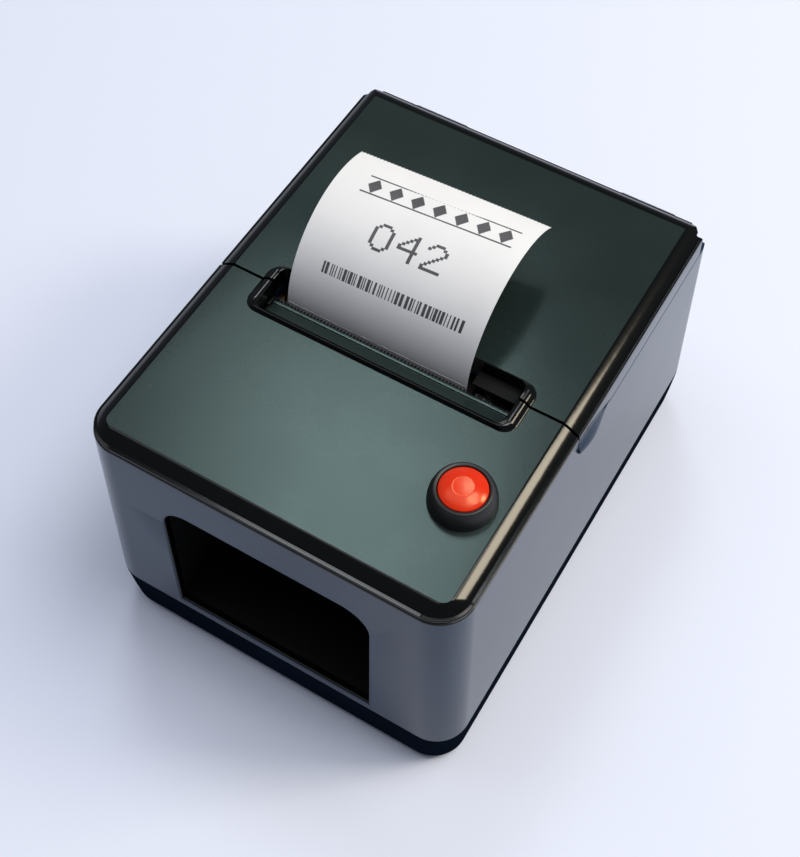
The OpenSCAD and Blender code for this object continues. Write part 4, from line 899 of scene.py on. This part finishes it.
def ticket():
    """Outer and inner face as grids of points, then the rim that closes them."""
    columns, rows, half_t, notch = 106, 60, 0.05, 1.4
    end = CURL_START - CURL_SWEEP
    points, faces = [], []
    for r in (CURL_R + half_t, CURL_R - half_t):
        for j in range(rows + 1):
            for i in range(columns + 1):
                x = PAPER_X0 + (PAPER_X1 - PAPER_X0) * i / columns
                last = end + (notch if i % 2 else 0.0)        # torn against the bar's teeth
                points.append(on_curl(x, CURL_START + (last - CURL_START) * j / rows, r))
    wide = columns + 1
    side = wide * (rows + 1)
    for j in range(rows):
        for i in range(columns):
            a = j * wide + i
            faces.append((a, a + 1, a + wide + 1, a + wide))
            faces.append((side + a, side + a + wide, side + a + wide + 1, side + a + 1))
    ends = [(j * wide + i, 1) for i in range(columns) for j in (0, rows)]
    edges = [(j * wide + i, wide) for j in range(rows) for i in (0, columns)]
    for a, step in ends + edges:
        faces.append((a, a + step, side + a + step, side + a))
    strip = mesh_of("ticket_strip", points, faces)
    dressed(strip, "ticket_paper", thermal_paper, "ticket_strip", "ticket", slot="thermal_paper", angle=50)


NUMBER = {
    "0": ("..###..", ".#...#.", *["#.....#"] * 7, ".#...#.", "..###.."),
    "4": (".....#.", "....##.", "...#.#.", "..#..#.", ".#...#.", "#....#.", "#######", *[".....#."] * 4),
    "2": ("..###..", ".#...#.", "#.....#", "......#", ".....#.", "....#..", "...#...", "..#....", ".#.....",
          "#......", "#######"),
}
PER_MM = math.degrees(1 / CURL_R)           # angle of one millimetre along the paper


def number_marks():
    """The number, in dots that run into each other a little."""
    dot_w, dot_h, step, left, top = 0.78, 0.66, 7.35, -14.9, 105.8
    bleed_x, bleed_a = 0.06, 0.1
    marks = []
    for k, digit in enumerate("042"):
        for j, row in enumerate(NUMBER[digit]):
            a = top + j * dot_h * PER_MM
            for i, dot in enumerate(row):
                if dot == "#":
                    x = left + k * step + i * dot_w
                    marks.append((x - bleed_x, x + dot_w + bleed_x,
                                  a - bleed_a, a + dot_h * PER_MM + bleed_a))
    return marks


def lozenge_marks():
    """A row of lozenges between two rules, over the number; each lozenge is a stack of thin bars."""
    marks = [(-24.0, 17.6, a, a + 0.45 * PER_MM) for a in (78.6, 91.2)]
    half_w, bar, middle, first, step = 1.9, 0.26, 85.4, -21.2, 6.0
    for k in range(7):
        for j in range(-9, 10):
            half = half_w * (1 - abs(j) / 10)
            a = middle + j * bar * PER_MM
            x = first + k * step
            marks.append((x - half, x + half, a, a + (bar + 0.002) * PER_MM))
    return marks


def bar_marks():
    """A row of bars of different widths, under the number."""
    start, end, top, tall = -23.6, 16.6, 137.0, 3.2
    draw = random.Random(7)
    marks = []
    x = start
    while x < end:
        w = draw.choice((0.28, 0.28, 0.55, 0.8))
        marks.append((x, x + w, top, top + tall * PER_MM))
        x += w + draw.choice((0.3, 0.45, 0.7))
    return marks


def printed_marks():
    """Thin printed patches on the curl, from (x0, x1, angle0, angle1) of each mark."""
    points, faces = [], []
    for x0, x1, a0, a1 in number_marks() + lozenge_marks() + bar_marks():
        steps = max(1, math.ceil(abs(a1 - a0) / 2))
        base = len(points)
        for j in range(steps + 1):
            a = a0 + (a1 - a0) * j / steps
            for r in (CURL_R + 0.06, CURL_R + 0.085):
                points += [on_curl(x0, a, r), on_curl(x1, a, r)]
        for j in range(steps):
            b = base + 4 * j
            faces += [(b + 2, b + 3, b + 7, b + 6), (b, b + 4, b + 5, b + 1), (b, b + 2, b + 6, b + 4),
                      (b + 1, b + 5, b + 7, b + 3)]
        e = base + 4 * steps
        faces += [(base, base + 1, base + 3, base + 2), (e, e + 2, e + 3, e + 1)]
    dressed(mesh_of("marks", points, faces), "ticket_print", thermal_ink, "ticket_strip",
            slot="thermal_paper", angle=50)


ticket()
printed_marks()


# ---- Push button ----

def push_button():
    """Turned ring, and a cap with a shallow dome on its stem."""
    ring_in, cap_r, low_z = 6.15, 6.0, 66.0
    bezel = turned("bezel", [
        (ring_in, 89.0), (ring_in, 93.1), (6.25, 93.3), (6.5, 93.45), (6.8, 93.5), (7.05, 93.4), (7.3, 93.1),
        (7.75, 92.2), (8.2, 90.8), (8.45, 89.2), (8.5, 88.1), (8.5, TOP_Z), (6.0, TOP_Z), (6.0, low_z),
        (3.0, low_z), (3.0, 89.0)], BUTTON, closed=True)
    dressed(bezel, "button_ring", black_nylon, "case", "button_bezel", slot="black_nylon", angle=28)
    cap = turned("cap", [
        (0.01, 91.0), (cap_r - 0.04, 91.0), (cap_r, 91.1), (cap_r, 92.9), (5.9, 93.2), (5.65, 93.4),
        (4.8, 93.82), (3.8, 94.2), (2.9, 94.46), (2.6, 94.52), (2.4, 94.5), (0.01, 94.4)], BUTTON)
    stem = turned("stem", [(0.01, 70.0), (2.2, 70.0), (2.2, 91.5), (0.01, 91.5)], BUTTON, 48)
    dressed(together("cap", [cap, stem]), "button_top", red_cap, "button", "button_cap", slot="red_cap",
            angle=24)


push_button()


# ---- Springs ----

def wound(place, r, wire, length, turns):
    """A compression spring with closed end turns; place turns (across, up, along) into x, y, z."""
    rings, steps, sides = [], turns * 30, 10
    closed = 2.1 * wire                     # rise of each end turn
    for i in range(steps + 1):
        turn = turns * i / steps
        middle = min(max(turn - 1, 0), turns - 2) * (length - 2 * wire - 2 * closed) / (turns - 2)
        along = wire + closed * (min(turn, 1) + max(turn - turns + 1, 0)) + middle
        a = math.tau * turn
        rings.append([place((r + wire * u) * math.cos(a), (r + wire * u) * math.sin(a), along + wire * v)
                      for u, v in circle(1, n=sides)])
    return ring_loft("coil", rings)


def button_spring():
    low, length, travel = 76.05, 14.8, 1.8
    coil = wound(lambda u, v, w: (BUTTON[0] + u, BUTTON[1] + v, low + w), r=3.3, wire=0.35,
                 length=length, turns=7)
    dressed(coil, "button_coil", spring_wire, "case", "button_spring", slot="spring_steel")
    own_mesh(coil)


def head_springs():
    """Two springs lying behind the head; tilt, how far the head would move them at its limit, is not used.
    """
    rear, length, tilt, z = -20.7, 4.75, 0.8, 76
    coils = [wound(lambda u, v, w, x=x: (x + u, rear + w, z + v), r=1.75, wire=0.3, length=length, turns=5)
             for x in (-22, -2)]
    pair = together("coils", coils)
    dressed(pair, "head_coils", spring_wire, "case", "head_springs", slot="spring_steel")
    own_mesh(pair)


button_spring()
head_springs()


# ---- Screws ----

def screws(name, body, places, seat, length, size, upside_down=False):
    """Pan-head screws with a cross recess, each stopped at an angle of its own, in place of their node."""
    shank, head, tall = size
    screw = turned("screw", [
        (0.01, -tall), (head * 0.7, -tall), (head * 0.9, -tall * 0.82), (head, -tall * 0.5), (head, 0),
        (shank, 0), (shank, length - 0.5), (shank - 0.4, length), (0.01, length)], (0, 0), 32)
    broad, narrow = head * 0.62, head * 0.14
    cut(screw, *[block((-x, -y, -tall - 1), (x, y, -tall * 0.4))
                 for x, y in ((broad, narrow), (narrow, broad))])
    if upside_down:
        screw.data.transform(Matrix.Rotation(math.pi, 4, "X"))
    made = run_flow(name + "_made", SCATTER, [(x, y, seat) for x, y in places], {
        "Item": screw, "Most turn": math.tau, "Seed": len(name), "Finish": screw_steel})
    dressed(made, name + "_made", screw_steel, body, name, slot="screw_steel", angle=30)


screws("case_screws", "case", CASE_SCREWS, seat=12.0, length=19.0, size=M3)
screws("chassis_screws", "case", CHASSIS_SCREWS, seat=6.0, length=12.0, size=M3)
screws("cover_screws", "case", COVER_SCREWS, seat=72.0, length=10.0, size=M25)
screws("lid_screws", "lid", LID_SCREWS, seat=82.6, length=4.0, size=M25)
screws("board_screws", "case", BOARD_SCREWS, seat=25.6, length=7.0, size=M25, upside_down=True)
screws("mechanism_screws", "case", MECHANISM_SCREWS, seat=47.2, length=4.5, size=M25, upside_down=True)


# ---- Finishes of the pieces that keep their solid's shape ----

FINISH = {
    "bay_liner": black_abs_painted_shade, "roll_bucket": black_abs_painted_shade, "paper_guide": black_abs_painted_shade,
    "mechanism_frame": zinc_plate, "stepper_motor": zinc_plate, "button_nut": zinc_plate,
    "paper_sensor": smoked_polycarbonate, "motor_pinion": turned_steel, "idler_axle": turned_steel,
    "head_pivot_pin": turned_steel, "platen_shaft": turned_steel, "hinge_pins": turned_steel,
    "idler_gear": black_acetal, "platen_gear": black_acetal, "ribbon_connector": black_acetal,
    "head_heatsink": cast_aluminium, "thermal_head": glazed_ceramic, "platen_roller": ground_rubber,
    "platen_bushes": sintered_bronze, "paper_roll": wound_paper, "paper_web": thermal_paper,
    "roll_core": cardboard, "power_jack": black_nylon, "button_terminals": tinned_brass,
    "main_board": solder_mask, "board_chips": chip_epoxy, "usb_port": port_steel,
    "head_ribbon": ribbon_painted_shade_film,
}
for name, finish in FINISH.items():
    solid = bpy.data.objects[name]
    for place in solid.material_slots:
        place.material = finish


# ---- Floor, light and world ----

def pale_stage():
    """Matt painted table: pale blue-grey without any mirror image of the case."""
    half, below = 3000, -0.3
    material, tree, shader, where = finish_of("pale_floor", "#dbe1f1", 0.9, level=0.1)
    floor = mesh_of("floor", [(-half, -half, below), (half, -half, below), (half, half, below),
                              (-half, half, below)], [(0, 1, 2, 3)])
    floor.data.materials.append(material)


pale_stage()


def soft_box(name, at, toward, size, power, colour):
    """A soft lamp, in metres and watts."""
    lamp = bpy.data.lights.new(name, "AREA")
    lamp.shape = "RECTANGLE"
    lamp.size, lamp.size_y = size
    lamp.energy = power
    lamp.color = linear(colour)[:3]
    holder = bpy.data.objects.new(name, lamp)
    bpy.context.scene.collection.objects.link(holder)
    holder.location = at
    aim = Vector(toward) - Vector(at)
    holder.rotation_euler = aim.to_track_quat("-Z", "Y").to_euler()


# small and warm, to the right: the cream streak along the right border
soft_box("window", (0.83, 0.52, 0.89), (0, 0, 0.08), (0.34, 0.34), 7.0, "#fff2d8")
# broad, high on the right: brightens the right wall and throws the soft shadow to the left
soft_box("bay_window", (0.62, 0.35, 1.8), (0, 0, 0.05), (0.9, 0.8), 17.5, "#fffcf8")
# wide and overhead: fills the paper and the floor
soft_box("ceiling", (-0.1, -0.15, 1.95), (-0.1, -0.15, 0), (2.8, 0.9), 12.5, "#f3f7ff")
# high behind the case: only the front plate sees it, as its broad sheen
soft_box("skylight", (-0.52, 0.72, 1.75), (0, 0, 0.05), (0.4, 0.5), 5.8, "#f4fbff")

world = bpy.data.worlds.new("room")
bpy.context.scene.world = world
world.use_nodes = True
world.node_tree.nodes.clear()
glow = add(world.node_tree, "ShaderNodeBackground", {"Color": linear("#e6e9fa"), "Strength": 0.2})
add(world.node_tree, "ShaderNodeOutputWorld", links={"Surface": glow.outputs[0]})
bpy.context.scene.view_settings.view_transform = "Standard"
